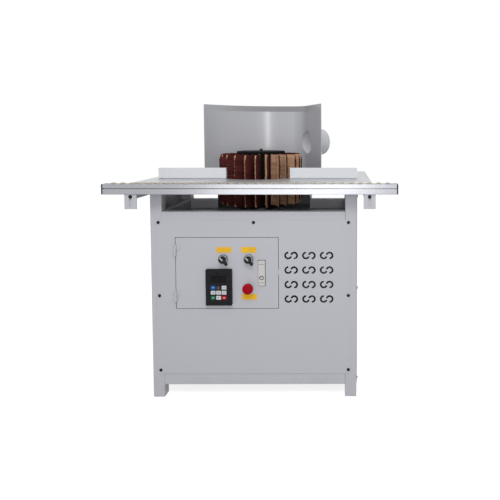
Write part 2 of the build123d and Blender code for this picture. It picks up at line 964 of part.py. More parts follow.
with BuildPart() as lock_bolt:
    block(
        (lock_x, door_right + bolt_overlap),
        (bolt_front, bolt_front + bolt_thickness),
        (bolt_z - bolt_height / 2, bolt_z + bolt_height / 2),
    )
    tip = lock_bolt.edges().filter_by(Axis.Y).group_by(Axis.X)[-1]
    fillet(tip, radius=bolt_thickness)
keep(lock_bolt, "lock_bolt")

# Roller rail: an extruded profile with a channel along its top for the rollers
rail_run = rail_length - 2 * rail_cap_thickness
wall_width = (rail_depth - rail_channel_width) / 2
chamber_width = wall_width - 2 * tube_wall
chamber_height = rail_channel_depth - rail_groove_drop - 2 * tube_wall
roller_places = [(index - (roller_count - 1) / 2) * roller_pitch for index in range(roller_count)]
with BuildPart() as roller_rail:
    with BuildSketch(facing_right(-rail_run / 2, rail_depth / 2, rail_bottom + rail_height / 2)):
        Rectangle(rail_depth, rail_height)
        with Locations((0, (rail_height - rail_channel_depth) / 2)):
            Rectangle(rail_channel_width, rail_channel_depth, mode=Mode.SUBTRACT)
        with Locations((-rail_depth / 2, rail_height / 2 - rail_groove_drop)):
            Rectangle(2 * rail_groove_depth, rail_groove_height, mode=Mode.SUBTRACT)
        with Locations(
            (-rail_depth / 2 + wall_width / 2, -chamber_height / 2),
            (rail_depth / 2 - wall_width / 2, -chamber_height / 2),
        ):
            Rectangle(chamber_width, chamber_height, mode=Mode.SUBTRACT)
    extrude(amount=rail_run)
    with BuildSketch(facing_front(0, (rail_depth - axle_length) / 2 - axle_end_gap, roller_z)):
        with Locations(*[(x, 0) for x in roller_places]):
            Circle(axle_radius + running_clearance)
    extrude(amount=-axle_length - 2 * axle_end_gap, mode=Mode.SUBTRACT)
keep(roller_rail, "roller_rail")

with BuildPart() as rail_end_caps:
    for x in (-rail_length / 2, rail_length / 2 - rail_cap_thickness):
        with BuildSketch(facing_right(x, rail_depth / 2, rail_bottom + rail_height / 2)):
            RectangleRounded(rail_depth, rail_height, tube_wall)
        extrude(amount=rail_cap_thickness)
keep(rail_end_caps, "rail_end_caps")

with BuildPart() as guide_rollers:
    for x in roller_places:
        turned_level(
            [
                (0, (rail_depth - axle_length) / 2),
                (axle_radius, (rail_depth - axle_length) / 2),
                (axle_radius, (rail_depth - roller_width) / 2),
                (roller_radius, (rail_depth - roller_width) / 2),
                (roller_radius, (rail_depth + roller_width) / 2),
                (axle_radius, (rail_depth + roller_width) / 2),
                (axle_radius, (rail_depth + axle_length) / 2),
                (0, (rail_depth + axle_length) / 2),
            ],
            x,
            roller_z,
        )
keep(guide_rollers, "guide_rollers")

# Slotted brackets under the rail, and the arms that they clamp to
slot_middle_z = clamp_bolt_z - rail_lift / 2
slot_half_height = rail_lift / 2 + clamp_bolt_radius + clamp_slot_gap
with BuildPart() as rail_brackets:
    for side in (-1, 1):
        with BuildSketch(facing_front(side * bracket_x, bracket_front_depth, 0)):
            with Locations((0, (bracket_bottom + rail_bottom) / 2)):
                Rectangle(bracket_width, rail_bottom - bracket_bottom)
            with Locations((0, slot_middle_z)):
                SlotOverall(
                    2 * slot_half_height,
                    2 * (clamp_bolt_radius + clamp_slot_gap),
                    rotation=90,
                    mode=Mode.SUBTRACT,
                )
        extrude(amount=-bracket_thickness)
keep(rail_brackets, "rail_brackets")

# Each arm ends in a tongue behind the slot, which the bracket slides against
arm_front = bracket_front_depth + bracket_thickness + pack_clearance
tongue_bottom = slot_middle_z - slot_half_height - arm_tongue_margin
with BuildPart() as rail_arms:
    for side in (-1, 1):
        arm_sides = (side * bracket_x - arm_width / 2, side * bracket_x + arm_width / 2)
        block(arm_sides, (arm_front, cabinet_back), (leg_top - arm_thickness, leg_top))
        block(arm_sides, (arm_front, arm_front + arm_tongue_thickness), (tongue_bottom, leg_top))
        with BuildSketch(facing_front(side * bracket_x, arm_front, clamp_bolt_z)):
            Circle(clamp_bolt_radius + running_clearance)
        extrude(amount=-clamp_bolt_grip, mode=Mode.SUBTRACT)
keep(rail_arms, "rail_arms")

# Hood: a bent sheet on the table, with a lip along its top that leans in at the back
left_tip = (hood_left_x, depth_y(hood_left_depth))
right_tip = (hood_right_x, depth_y(hood_right_depth))


def hood_curve(lean=0):
    """The plan of the hood's outer face between its two tips, its back moved in by a lean."""
    back = depth_y(hood_back_depth - lean)
    TangentArc((hood_flat_start_x, back), left_tip, tangent=(-1, 0))
    FilletPolyline(
        (hood_flat_start_x, back),
        (hood_corner_x, back),
        right_tip,
        radius=hood_corner_radius,
    )


def hood_band(z, thickness, lean=0):
    """A strip of the plan at a height, this thick."""
    with BuildSketch(Plane.XY.offset(z)) as band:
        with BuildLine():
            hood_curve(lean)
            offset(amount=thickness, side=Side.LEFT, mode=Mode.REPLACE)
        make_face()
    return band.sketch


with BuildLine() as hood_line:
    hood_curve()
port_plane = Plane(
    (port_x, depth_y(port_depth), port_z),
    x_dir=(0, 0, 1),
    z_dir=(slant, slant, 0),
)
hood_wire = hood_line.wires()[0]
hood_screws = []
for index in range(hood_screw_count):
    share = (index + 0.5) / hood_screw_count
    inward = hood_wire.tangent_at(share).rotate(Axis.Z, 90)
    hood_screws.append(hood_wire.position_at(share) + inward * (hood_flange + sheet) / 2)
with BuildPart() as dust_hood:
    extrude(hood_band(table_height, sheet), amount=hood_height - hood_lip_height)
    lip_start = hood_band(hood_top - hood_lip_height, sheet)
    lip_end = hood_band(hood_top, sheet, hood_lip_lean)
    loft([lip_start.face(), lip_end.face()], ruled=True)
    extrude(hood_band(table_height, hood_flange), amount=sheet)
    with BuildSketch(port_plane):
        Circle(port_hole_radius)
    extrude(amount=port_radius, both=True, mode=Mode.SUBTRACT)
    with BuildSketch(Plane.XY.offset(table_height)):
        with Locations(*[(point.X, point.Y) for point in hood_screws]):
            Circle(screw_shank_radius)
    extrude(amount=sheet, mode=Mode.SUBTRACT)
keep(dust_hood, "dust_hood")

# Port: a short pipe with a bead at its mouth, cut to the hood's outer face
with BuildPart() as dust_port:
    with BuildSketch(port_plane.offset(-port_radius)):
        Circle(port_radius)
    extrude(amount=port_length + port_radius)
    with BuildSketch(port_plane.offset(port_length - port_bead_length)):
        Circle(port_radius + port_bead)
    extrude(amount=port_bead_length)
    with BuildSketch(port_plane.offset(-port_radius)):
        Circle(port_radius - port_wall)
    extrude(amount=port_length + port_radius, mode=Mode.SUBTRACT)
    with BuildSketch(Plane.XY.offset(table_height)):
        with BuildLine():
            hood_curve()
            Line(left_tip, right_tip)
        make_face()
    extrude(amount=hood_height, mode=Mode.SUBTRACT)
keep(dust_port, "dust_port")

# Guard round the low part of the brush, open to the front and to the table's hole
guard_front = cabinet_back - leg_size
with BuildPart() as brush_guard:
    block((guard_left, guard_right), (guard_front, guard_back_depth), (header_bottom, table_bottom))
    block(
        (guard_left + sheet, guard_right - sheet),
        (guard_front, guard_back_depth - sheet),
        (header_bottom + sheet, table_bottom),
        mode=Mode.SUBTRACT,
    )
    block(
        (guard_left, guard_right),
        (guard_back_depth, guard_back_depth + guard_flange),
        (table_bottom - sheet, table_bottom),
    )
keep(brush_guard, "brush_guard")


# Fences: hollow bars on slotted feet, held down by bolts in the table
def fence(left, foot_places):
    """A fence that runs to the right from its left end, with a foot at each of two places."""
    hollow_height = fence_height - fence_wall - fence_base
    with BuildSketch(facing_right(left, fence_front_depth, table_height)) as bar:
        with Locations((fence_thickness / 2, fence_height / 2)):
            RectangleRounded(fence_thickness, fence_height, fence_corner)
        with Locations((fence_thickness / 2, fence_base + hollow_height / 2)):
            Rectangle(fence_thickness - 2 * fence_wall, hollow_height, mode=Mode.SUBTRACT)
        Rectangle(2 * fence_rebate_depth, 2 * fence_rebate_height, mode=Mode.SUBTRACT)
    extrude(bar.sketch, amount=fence_length)
    foot_middle = fence_back_depth + fence_foot_length / 2
    for x in foot_places:
        with BuildSketch(facing_up(x, foot_middle, table_height)) as foot:
            Rectangle(fence_foot_width, fence_foot_length)
            SlotOverall(
                fence_travel + 2 * (fence_bolt_radius + fence_slot_gap),
                2 * (fence_bolt_radius + fence_slot_gap),
                rotation=90,
                mode=Mode.SUBTRACT,
            )
        extrude(foot.sketch, amount=fence_foot_thickness)


with BuildPart() as left_fence:
    fence(fence_left, fence_bolts[:2])
keep(left_fence, "left_fence")

with BuildPart() as right_fence:
    fence(fence_right - fence_length, fence_bolts[2:])
keep(right_fence, "right_fence")

# Bolts that hold the fences, the hood and the rail brackets
with BuildPart() as table_bolts:
    for x in fence_bolts:
        seat = table_height + fence_foot_thickness + pack_clearance
        turned(
            [
                (0, table_bottom),
                (fence_bolt_radius, table_bottom),
                (fence_bolt_radius, seat),
                (fence_bolt_head_radius, seat),
                (fence_bolt_head_radius, seat + fence_bolt_head_height),
                (0, seat + fence_bolt_head_height),
            ],
            x,
            fence_bolt_depth,
        )
    for point in hood_screws:
        seat = table_height + sheet
        turned(
            [
                (0, table_height),
                (screw_shank_radius - running_clearance, table_height),
                (screw_shank_radius - running_clearance, seat),
                (screw_head_radius, seat),
                (screw_head_radius, seat + screw_head_height),
                (0, seat + screw_head_height),
            ],
            point.X,
            point.Y + overall_depth / 2,
        )
    for side in (-1, 1):
        clamp_seat = bracket_front_depth - pack_clearance
        turned_level(
            [
                (0, clamp_seat - clamp_head_height),
                (clamp_head_radius, clamp_seat - clamp_head_height),
                (clamp_head_radius, clamp_seat),
                (clamp_bolt_radius, clamp_seat),
                (clamp_bolt_radius, arm_front + clamp_bolt_grip),
                (0, arm_front + clamp_bolt_grip),
            ],
            side * bracket_x,
            clamp_bolt_z,
        )
keep(table_bolts, "table_bolts")

# Brush: slotted core, abrasive flaps, fibre packs behind them, discs above and below
core_middle = brush_bottom + brush_height / 2
rim_inner = core_radius - core_rim
shaft_bore = spindle_radius + running_clearance
with BuildPart() as brush_core:
    turned(
        [
            (shaft_bore, brush_bottom),
            (core_hub_radius, brush_bottom),
            (core_hub_radius, core_middle - core_web / 2),
            (rim_inner, core_middle - core_web / 2),
            (rim_inner, brush_bottom),
            (core_radius, brush_bottom),
            (core_radius, brush_top),
            (rim_inner, brush_top),
            (rim_inner, core_middle + core_web / 2),
            (core_hub_radius, core_middle + core_web / 2),
            (core_hub_radius, brush_top),
            (shaft_bore, brush_top),
        ],
        brush_x,
        brush_depth,
    )
    with BuildSketch(facing_up(brush_x, brush_depth, brush_bottom)):
        with PolarLocations(core_radius, flap_count, start_angle=flap_start_angle):
            Rectangle(2 * flap_slot_depth, flap_slot_width, rotation=-flap_lean)
    extrude(amount=brush_height, mode=Mode.SUBTRACT)
keep(brush_core, "brush_core")

with BuildPart() as brush_discs:
    for z in (brush_bottom - disc_thickness, brush_top):
        turned(
            [
                (shaft_bore, z),
                (disc_radius - disc_chamfer, z),
                (disc_radius, z + disc_chamfer),
                (disc_radius, z + disc_thickness - disc_chamfer),
                (disc_radius - disc_chamfer, z + disc_thickness),
                (shaft_bore, z + disc_thickness),
            ],
            brush_x,
            brush_depth,
        )
keep(brush_discs, "brush_discs")

# A flap and its pack are drawn along X from the mouth of their slot, then leaned back and repeated
lean = math.radians(flap_lean)
flap_reach = math.sqrt(brush_radius**2 - (core_radius * math.sin(lean)) ** 2) - core_radius * math.cos(lean)
slot_side = flap_slot_width / 2 - pack_clearance
abrasive_back = slot_side - abrasive_thickness
pack_front = abrasive_back - pack_clearance
flap_inner = pack_clearance - flap_slot_depth
flap_height = brush_height - 2 * pack_clearance
strand_pitch = flap_height / strand_count
with BuildPart() as one_abrasive:
    flap_plane = Plane((0, abrasive_back, core_middle), x_dir=(1, 0, 0), z_dir=(0, -1, 0))
    with BuildSketch(flap_plane) as flap_outline:
        with Locations(((flap_inner + flap_reach) / 2, 0)):
            Rectangle(flap_reach - flap_inner, flap_height)
        fillet(flap_outline.vertices().group_by(Axis.X)[-1], radius=abrasive_corner)
        with Locations((flap_reach, 0)):
            with GridLocations(0, flap_height / (slash_count + 1), 1, slash_count):
                Rectangle(2 * slash_length, slash_width, mode=Mode.SUBTRACT)
    extrude(amount=-abrasive_thickness)

with BuildPart(facing_up(brush_x, brush_depth, 0)) as abrasive_flaps:
    with PolarLocations(core_radius, flap_count, start_angle=flap_start_angle):
        with Locations(Rotation(0, 0, -flap_lean)):
            add(one_abrasive.part)
keep(abrasive_flaps, "abrasive_flaps")

pack_middle = (pack_front - slot_side) / 2
with BuildPart() as one_pack:
    with Locations((flap_inner / 2, pack_middle, core_middle)):
        Box(-flap_inner, pack_front + slot_side, flap_height)
    with BuildSketch(Plane((0, pack_middle, core_middle), x_dir=(0, 1, 0), z_dir=(1, 0, 0))):
        with GridLocations(0, strand_pitch, 1, strand_count):
            Rectangle(strand_thickness, strand_height)
    extrude(amount=flap_reach - strand_shortfall, taper=strand_taper)

with BuildPart(facing_up(brush_x, brush_depth, 0)) as bristle_packs:
    with PolarLocations(core_radius, flap_count, start_angle=flap_start_angle):
        with Locations(Rotation(0, 0, -flap_lean)):
            add(one_pack.part)
keep(bristle_packs, "bristle_packs")

# Spindle, with a shoulder under the brush and a tapped hole at its top
shaft_bottom = motor_top - motor_bore_depth + motor_bore_end_gap
shoulder_bottom = housing_top + housing_top_gap / 2
with BuildPart() as spindle_shaft:
    turned(
        [
            (0, shaft_bottom),
            (spindle_radius, shaft_bottom),
            (spindle_radius, shoulder_bottom),
            (core_hub_radius, shoulder_bottom),
            (core_hub_radius, brush_bottom - disc_thickness),
            (spindle_radius, brush_bottom - disc_thickness),
            (spindle_radius, spindle_top),
            (centre_thread_radius + running_clearance, spindle_top),
            (centre_thread_radius + running_clearance, spindle_top - centre_thread_depth),
            (0, spindle_top - centre_thread_depth),
        ],
        brush_x,
        brush_depth,
    )
keep(spindle_shaft, "spindle_shaft")

with BuildPart() as centre_screw:
    with BuildSketch(facing_up(brush_x, brush_depth, spindle_top)):
        RegularPolygon(centre_screw_radius, 6)
    extrude(amount=centre_screw_height)
    with BuildSketch(facing_up(brush_x, brush_depth, spindle_top)):
        Circle(centre_washer_radius)
    extrude(amount=sheet)
    with BuildSketch(facing_up(brush_x, brush_depth, spindle_top)):
        Circle(centre_thread_radius)
    extrude(amount=centre_thread_end_gap - centre_thread_depth)
keep(centre_screw, "centre_screw")

# Housing with a bearing at each end
bearing_places = (carriage_top, housing_top - bearing_width)
housing_bore = bearing_outer_radius - 2 * bearing_groove
with BuildPart() as spindle_housing:
    turned(
        [
            (bearing_outer_radius, carriage_top),
            (housing_flange_radius, carriage_top),
            (housing_flange_radius, carriage_top + housing_flange_thickness),
            (housing_radius, carriage_top + housing_flange_thickness),
            (housing_radius, housing_top),
            (bearing_outer_radius, housing_top),
            (bearing_outer_radius, bearing_places[1]),
            (housing_bore, bearing_places[1]),
            (housing_bore, bearing_places[0] + bearing_width),
            (bearing_outer_radius, bearing_places[0] + bearing_width),
        ],
        brush_x,
        brush_depth,
    )
keep(spindle_housing, "spindle_housing")

with BuildPart() as spindle_bearings:
    ring = (bearing_outer_radius - spindle_radius) / 3
    for z in bearing_places:
        turned(
            [
                (shaft_bore, z),
                (spindle_radius + ring, z),
                (spindle_radius + ring, z + bearing_groove),
                (bearing_outer_radius - ring, z + bearing_groove),
                (bearing_outer_radius - ring, z),
                (bearing_outer_radius - running_clearance, z),
                (bearing_outer_radius - running_clearance, z + bearing_width),
                (bearing_outer_radius - ring, z + bearing_width),
                (bearing_outer_radius - ring, z + bearing_width - bearing_groove),
                (spindle_radius + ring, z + bearing_width - bearing_groove),
                (spindle_radius + ring, z + bearing_width),
                (shaft_bore, z + bearing_width),
            ],
            brush_x,
            brush_depth,
        )
keep(spindle_bearings, "spindle_bearings")

# Carriage: a cast plate with long bosses for the columns and the lift screw
carriage_middle = (carriage_front_depth + carriage_back_depth) / 2
with BuildPart() as carriage_plate:
    with BuildSketch(facing_up(brush_x, carriage_middle, carriage_z)):
        RectangleRounded(carriage_width, carriage_back_depth - carriage_front_depth, boss_radius)
    extrude(amount=carriage_thickness)
    with BuildSketch(facing_up(brush_x, brush_depth, carriage_z)):
        with Locations((-column_spread, 0), (column_spread, 0), (0, screw_depth - brush_depth)):
            Circle(boss_radius)
    extrude(amount=-boss_length)
    with BuildSketch(facing_up(brush_x, brush_depth, carriage_top)):
        with Locations((-column_spread, 0), (column_spread, 0)):
            Circle(column_radius + running_clearance)
        with Locations((0, screw_depth - brush_depth)):
            Circle(screw_radius + running_clearance)
    extrude(amount=-boss_length - carriage_thickness, mode=Mode.SUBTRACT)
    with BuildSketch(facing_up(brush_x, brush_depth, carriage_top)):
        Circle(spindle_radius + bearing_groove)
    extrude(amount=-carriage_thickness, mode=Mode.SUBTRACT)
keep(carriage_plate, "carriage_plate")

# Main motor: finned body, mounting flange, terminal box
with BuildPart() as main_motor:
    cover_top = motor_bottom + motor_cover_height
    turned(
        [
            (0, motor_bottom),
            (motor_radius - motor_fin, motor_bottom),
            (motor_radius, motor_bottom + motor_fin),
            (motor_radius, cover_top),
            (motor_radius - motor_fin, cover_top),
            (motor_radius - motor_fin, motor_top - motor_flange_thickness),
            (motor_flange_radius, motor_top - motor_flange_thickness),
            (motor_flange_radius, motor_top),
            (shaft_bore, motor_top),
            (shaft_bore, motor_top - motor_bore_depth),
            (0, motor_top - motor_bore_depth),
        ],
        brush_x,
        brush_depth,
    )
    with BuildSketch(facing_up(brush_x, brush_depth, cover_top)):
        with PolarLocations(motor_radius - motor_fin, motor_fin_count):
            Rectangle(2 * motor_fin, motor_fin_thickness)
    extrude(amount=motor_top - motor_flange_thickness - cover_top)
    box_z = (cover_top + motor_top) / 2
    block(
        (brush_x + motor_radius - motor_fin, brush_x + motor_radius + motor_box_rise),
        (brush_depth - motor_box_size / 2, brush_depth + motor_box_size / 2),
        (box_z - motor_box_size / 2, box_z + motor_box_size / 2),
    )
keep(main_motor, "main_motor")

# Lift: two plates in the cabinet frame, two columns, screw and geared motor
lift_front = cabinet_setback + lift_plate_margin
lift_back = cabinet_back - lift_plate_margin
lift_middle = (lift_front + lift_back) / 2
screw_local = (0, screw_depth - lift_middle)
with BuildPart() as lift_plates:
    with BuildSketch(facing_up(brush_x, lift_middle, lower_rail_top)):
        Rectangle(2 * lift_plate_half_width, lift_back - lift_front)
    extrude(amount=lift_plate_thickness)
    with BuildSketch(facing_up(brush_x, lift_middle, lift_plate_top)):
        Rectangle(2 * lift_plate_half_width, lift_back - lift_front)
        with Locations((0, brush_depth - lift_middle)):
            Circle(housing_radius + motor_fin, mode=Mode.SUBTRACT)
        with Locations(screw_local):
            Circle(screw_journal_radius + running_clearance, mode=Mode.SUBTRACT)
    extrude(amount=-lift_plate_thickness)
keep(lift_plates, "lift_plates")

with BuildPart() as guide_columns:
    with BuildSketch(facing_up(brush_x, brush_depth, lift_base_top)):
        with Locations((-column_spread, 0), (column_spread, 0)):
            Circle(column_radius)
    extrude(amount=lift_plate_top - lift_plate_thickness - lift_base_top)
keep(guide_columns, "guide_columns")

with BuildPart() as lift_screw:
    turned(
        [
            (0, gearbox_top - screw_journal_length),
            (screw_journal_radius, gearbox_top - screw_journal_length),
            (screw_journal_radius, gearbox_top + pack_clearance),
            (screw_radius, gearbox_top + pack_clearance),
            (screw_radius, lift_plate_top - lift_plate_thickness - pack_clearance),
            (screw_journal_radius, lift_plate_top - lift_plate_thickness - pack_clearance),
            (screw_journal_radius, lift_plate_top),
            (0, lift_plate_top),
        ],
        brush_x,
        screw_depth,
    )
keep(lift_screw, "lift_screw")

with BuildPart() as lift_motor:
    with BuildSketch(facing_up(brush_x, screw_depth, lift_base_top)):
        RectangleRounded(gearbox_size, gearbox_size, table_corner_radius)
    extrude(amount=gearbox_height)
    with BuildSketch(facing_right(brush_x, screw_depth, lift_base_top + gearbox_height / 2)):
        Circle(lift_motor_radius)
    extrude(amount=gearbox_size / 2 + lift_motor_length)
    with BuildSketch(facing_up(brush_x, screw_depth, gearbox_top)):
        Circle(screw_journal_radius + running_clearance)
    extrude(amount=-screw_journal_length - screw_end_gap, mode=Mode.SUBTRACT)
keep(lift_motor, "lift_motor")
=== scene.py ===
import bmesh
import bpy
import json
import math
import random
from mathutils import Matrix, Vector


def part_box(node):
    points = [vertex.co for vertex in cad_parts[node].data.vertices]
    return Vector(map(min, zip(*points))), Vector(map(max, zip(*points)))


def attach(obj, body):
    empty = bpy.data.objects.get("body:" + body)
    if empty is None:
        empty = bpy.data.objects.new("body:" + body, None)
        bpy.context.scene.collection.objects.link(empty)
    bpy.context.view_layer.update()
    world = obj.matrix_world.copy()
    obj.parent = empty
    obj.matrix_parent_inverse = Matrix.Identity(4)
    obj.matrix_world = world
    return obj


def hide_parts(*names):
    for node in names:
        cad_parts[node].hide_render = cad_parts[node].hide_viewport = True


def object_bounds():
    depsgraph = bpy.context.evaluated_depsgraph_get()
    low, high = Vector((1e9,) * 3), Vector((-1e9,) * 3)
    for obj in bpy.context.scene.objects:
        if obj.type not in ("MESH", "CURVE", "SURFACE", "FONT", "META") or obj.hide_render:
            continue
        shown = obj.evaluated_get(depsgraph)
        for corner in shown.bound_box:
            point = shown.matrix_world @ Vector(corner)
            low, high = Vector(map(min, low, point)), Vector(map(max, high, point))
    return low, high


# Looks of the brush sanding machine, in metres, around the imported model.
# X is to the right, Y to the back and Z up, so a face towards the operator has the lowest Y.

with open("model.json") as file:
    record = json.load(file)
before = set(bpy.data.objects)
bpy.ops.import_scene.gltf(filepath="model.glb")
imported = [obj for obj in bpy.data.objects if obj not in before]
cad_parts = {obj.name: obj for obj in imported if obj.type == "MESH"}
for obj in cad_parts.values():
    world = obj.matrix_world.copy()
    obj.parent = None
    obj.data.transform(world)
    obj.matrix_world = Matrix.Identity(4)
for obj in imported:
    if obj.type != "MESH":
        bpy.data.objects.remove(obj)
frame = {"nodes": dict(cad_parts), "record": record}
cad_low, cad_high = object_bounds()
nodes = frame["nodes"]
# One seed, so that every run makes the same brush
dice = random.Random(7)


class Graph:
    """A material made of nodes, with short names for the nodes used here."""

    def __init__(self, name, roughness, metallic=0.0, gloss=0.5):
        self.material = bpy.data.materials.new(name)
        self.material.use_nodes = True
        self.tree = self.material.node_tree
        self.shader = self.tree.nodes["Principled BSDF"]
        self.shader.inputs["Roughness"].default_value = roughness
        self.shader.inputs["Metallic"].default_value = metallic
        self.shader.inputs["Specular IOR Level"].default_value = gloss
        self.place = self.add("ShaderNodeTexCoord").outputs["Object"]

    def set(self, socket, value):
        if isinstance(value, bpy.types.NodeSocket):
            self.tree.links.new(value, socket)
        else:
            socket.default_value = value

    def add(self, kind, **inputs):
        node = self.tree.nodes.new(kind)
        for name, value in inputs.items():
            self.set(node.inputs[name.replace("_", " ")], value)
        return node

    def noise(self, scale, detail=3.0, stretch=None):
        place = self.place
        if stretch is not None:
            place = self.add("ShaderNodeMapping", Vector=place, Scale=stretch).outputs["Vector"]
        return self.add("ShaderNodeTexNoise", Vector=place, Scale=scale, Detail=detail).outputs["Fac"]

    def cells(self, scale):
        return self.add("ShaderNodeTexVoronoi", Vector=self.place, Scale=scale).outputs["Distance"]

    def spread(self, value, low, high, start=0.3, end=0.7):
        """Stretch a value to a new range, from the range of most noise unless told otherwise."""
        return self.add(
            "ShaderNodeMapRange", Value=value, From_Min=start, From_Max=end, To_Min=low, To_Max=high
        ).outputs["Result"]

    def mix(self, share, first, second):
        node = self.tree.nodes.new("ShaderNodeMix")
        node.data_type = "RGBA"
        colours = [socket for socket in node.inputs if socket.type == "RGBA"]
        self.set(node.inputs["Factor"], share)
        self.set(colours[0], first)
        self.set(colours[1], second)
        return next(socket for socket in node.outputs if socket.type == "RGBA")

    def varied(self, pattern, colour, first, second):
        """A colour that follows a pattern from one shade of itself to another."""
        return self.mix(self.spread(pattern, 0.0, 1.0), shade(colour, first), shade(colour, second))

    def times(self, first, second):
        node = self.tree.nodes.new("ShaderNodeMath")
        node.operation = "MULTIPLY"
        self.set(node.inputs[0], first)
        self.set(node.inputs[1], second)
        return node.outputs["Value"]

    def along(self, axis):
        return self.add("ShaderNodeSeparateXYZ", Vector=self.place).outputs[axis]

    def island(self):
        """A random value for each loose piece of a mesh."""
        return self.add("ShaderNodeNewGeometry").outputs["Random Per Island"]

    def edges(self, radius):
        """About 1 along a piece's edges and 0 on its faces."""
        edge_match = 0.75
        face_match = 0.995
        bevel = self.add("ShaderNodeBevel", Radius=radius)
        bevel.samples = 4
        match = self.tree.nodes.new("ShaderNodeVectorMath")
        match.operation = "DOT_PRODUCT"
        self.set(match.inputs[0], bevel.outputs["Normal"])
        self.set(match.inputs[1], self.add("ShaderNodeNewGeometry").outputs["Normal"])
        return self.spread(match.outputs["Value"], 1.0, 0.0, edge_match, face_match)

    def bump(self, value, distance, strength):
        node = self.add("ShaderNodeBump", Height=value, Distance=distance, Strength=strength)
        self.set(self.shader.inputs["Normal"], node.outputs["Normal"])

    def finish(self, colour, roughness=None):
        self.set(self.shader.inputs["Base Color"], colour)
        if roughness is not None:
            self.set(self.shader.inputs["Roughness"], roughness)
        return self.material


def srgb(red, green, blue):
    """A colour from its eight-bit values on a screen."""
    def linear(value):
        share = value / 255
        return share / 12.92 if share <= 0.04045 else ((share + 0.055) / 1.055) ** 2.4
    return (linear(red), linear(green), linear(blue), 1.0)


def shade(colour, factor):
    return (colour[0] * factor, colour[1] * factor, colour[2] * factor, 1.0)


# Depth of scratches in bare metal
scratch = 0.00001


def paint(name, colour, roughness=0.42, peel=0.00006, coat=0.0):
    """Powder coat: a fine orange peel, slight unevenness, paler rubbed edges, dust near the floor."""
    edge_radius = 0.0012
    rubbed = 0.25
    dust_height = 0.10
    dustiest = 0.3
    graph = Graph(name, roughness)
    graph.set(graph.shader.inputs["Coat Weight"], coat)
    graph.set(graph.shader.inputs["Coat Roughness"], 0.17)
    tone = graph.varied(graph.noise(scale=2.0), colour, 0.985, 1.015)
    tone = graph.mix(graph.times(graph.edges(edge_radius), rubbed), tone, shade(colour, 1.2))
    low = graph.spread(graph.along("Z"), dustiest, 0.0, 0.0, dust_height)
    patches = graph.spread(graph.noise(scale=18.0, detail=5.0), 0.0, 1.0, start=0.4)
    tone = graph.mix(graph.times(low, patches), tone, shade(colour, 0.6))
    graph.bump(graph.noise(scale=850.0, detail=2.0), distance=peel, strength=0.5)
    return graph.finish(tone, graph.spread(graph.noise(scale=12.0), roughness - 0.03, roughness + 0.04))


def ground_metal(name, colour, roughness, grain, metallic=1.0, gloss=0.5):
    """Metal with fine straight lines left by grinding, rolling or drawing."""
    graph = Graph(name, roughness, metallic, gloss)
    lines = graph.noise(scale=60.0, detail=5.0, stretch=grain)
    tone = graph.varied(lines, colour, 0.95, 1.025)
    stains = graph.spread(graph.noise(scale=4.0), 0.0, 0.25)
    tone = graph.mix(stains, tone, shade(colour, 0.9))
    graph.bump(lines, distance=scratch, strength=0.4)
    return graph.finish(tone, graph.spread(lines, roughness - 0.03, roughness + 0.05))


def plastic(name, colour, roughness=0.45, gloss=0.3, wear=1.3):
    """Moulded plastic with a fine spark-eroded grain and paler worn edges."""
    edge_radius = 0.0008
    worn = 0.35
    grain_depth = 0.00004
    graph = Graph(name, roughness, gloss=gloss)
    tone = graph.varied(graph.noise(scale=25.0, detail=4.0), colour, 0.92, 1.06)
    tone = graph.mix(graph.times(graph.edges(edge_radius), worn), tone, shade(colour, wear))
    graph.bump(graph.noise(scale=1400.0, detail=2.0), distance=grain_depth, strength=0.4)
    return graph.finish(tone, graph.spread(graph.noise(scale=40.0), roughness - 0.06, roughness + 0.08))


def casting(name, colour, gloss=0.3):
    """Painted casting with a sandy skin."""
    sand_depth = 0.0003
    graph = Graph(name, 0.6, gloss=gloss)
    tone = graph.varied(graph.noise(scale=30.0, detail=5.0), colour, 0.8, 1.1)
    graph.bump(graph.noise(scale=420.0, detail=4.0), distance=sand_depth, strength=0.6)
    return graph.finish(tone)


def plating(name, colour, roughness, wall=None):
    """Plated metal with faint fingerprints, or black plastic that is plated only ahead of a wall."""
    graph = Graph(name, roughness, metallic=1.0 if wall is None else 0.0)
    smear = graph.noise(scale=90.0, detail=5.0)
    tone = graph.varied(smear, colour, 0.9, 1.0)
    if wall is not None:
        blur = 0.0002
        ahead = graph.spread(graph.along("Y"), 1.0, 0.0, wall - blur, wall + blur)
        tone = graph.mix(ahead, srgb(24, 24, 26), tone)
        graph.set(graph.shader.inputs["Metallic"], ahead)
    graph.bump(graph.noise(scale=300.0, detail=2.0), distance=scratch, strength=0.3)
    return graph.finish(tone, graph.spread(smear, roughness - 0.03, roughness + 0.08))


def drawn_rail(name, colour, roughness, low, high):
    """Drawn aluminium with straight die lines, and painted shade in the groove of its front and along its
    underside.
    """
    die_grain = (0.0, 30.0, 30.0)
    groove_top = high.z - 0.0144
    groove_bottom = high.z - 0.0176
    groove_blur = 0.0002
    groove_back = low.y + 0.0070
    back_blur = 0.0005
    underside = low.z + 0.0008
    underside_blur = 0.0006
    graph = Graph(name, roughness, metallic=0.9)
    lines = graph.noise(scale=60.0, detail=5.0, stretch=die_grain)
    tone = graph.varied(lines, colour, 0.99, 1.005)
    level = graph.along("Z")
    above = graph.spread(level, 0.0, 1.0, groove_bottom - groove_blur, groove_bottom + groove_blur)
    below = graph.spread(level, 1.0, 0.0, groove_top - groove_blur, groove_top + groove_blur)
    ahead = graph.spread(graph.along("Y"), 1.0, 0.0, groove_back, groove_back + back_blur)
    # Painted shade in the groove of the front
    groove_shade = graph.times(graph.times(above, below), ahead)
    tone = graph.mix(groove_shade, tone, shade(colour, 0.45))
    # Painted shade along the underside of the rail
    shaded = graph.spread(level, 0.8, 0.0, underside, underside + underside_blur)
    tone = graph.mix(shaded, tone, shade(colour, 0.4))
    graph.bump(lines, distance=scratch, strength=0.05)
    return graph.finish(tone, graph.spread(lines, roughness - 0.006, roughness + 0.01))


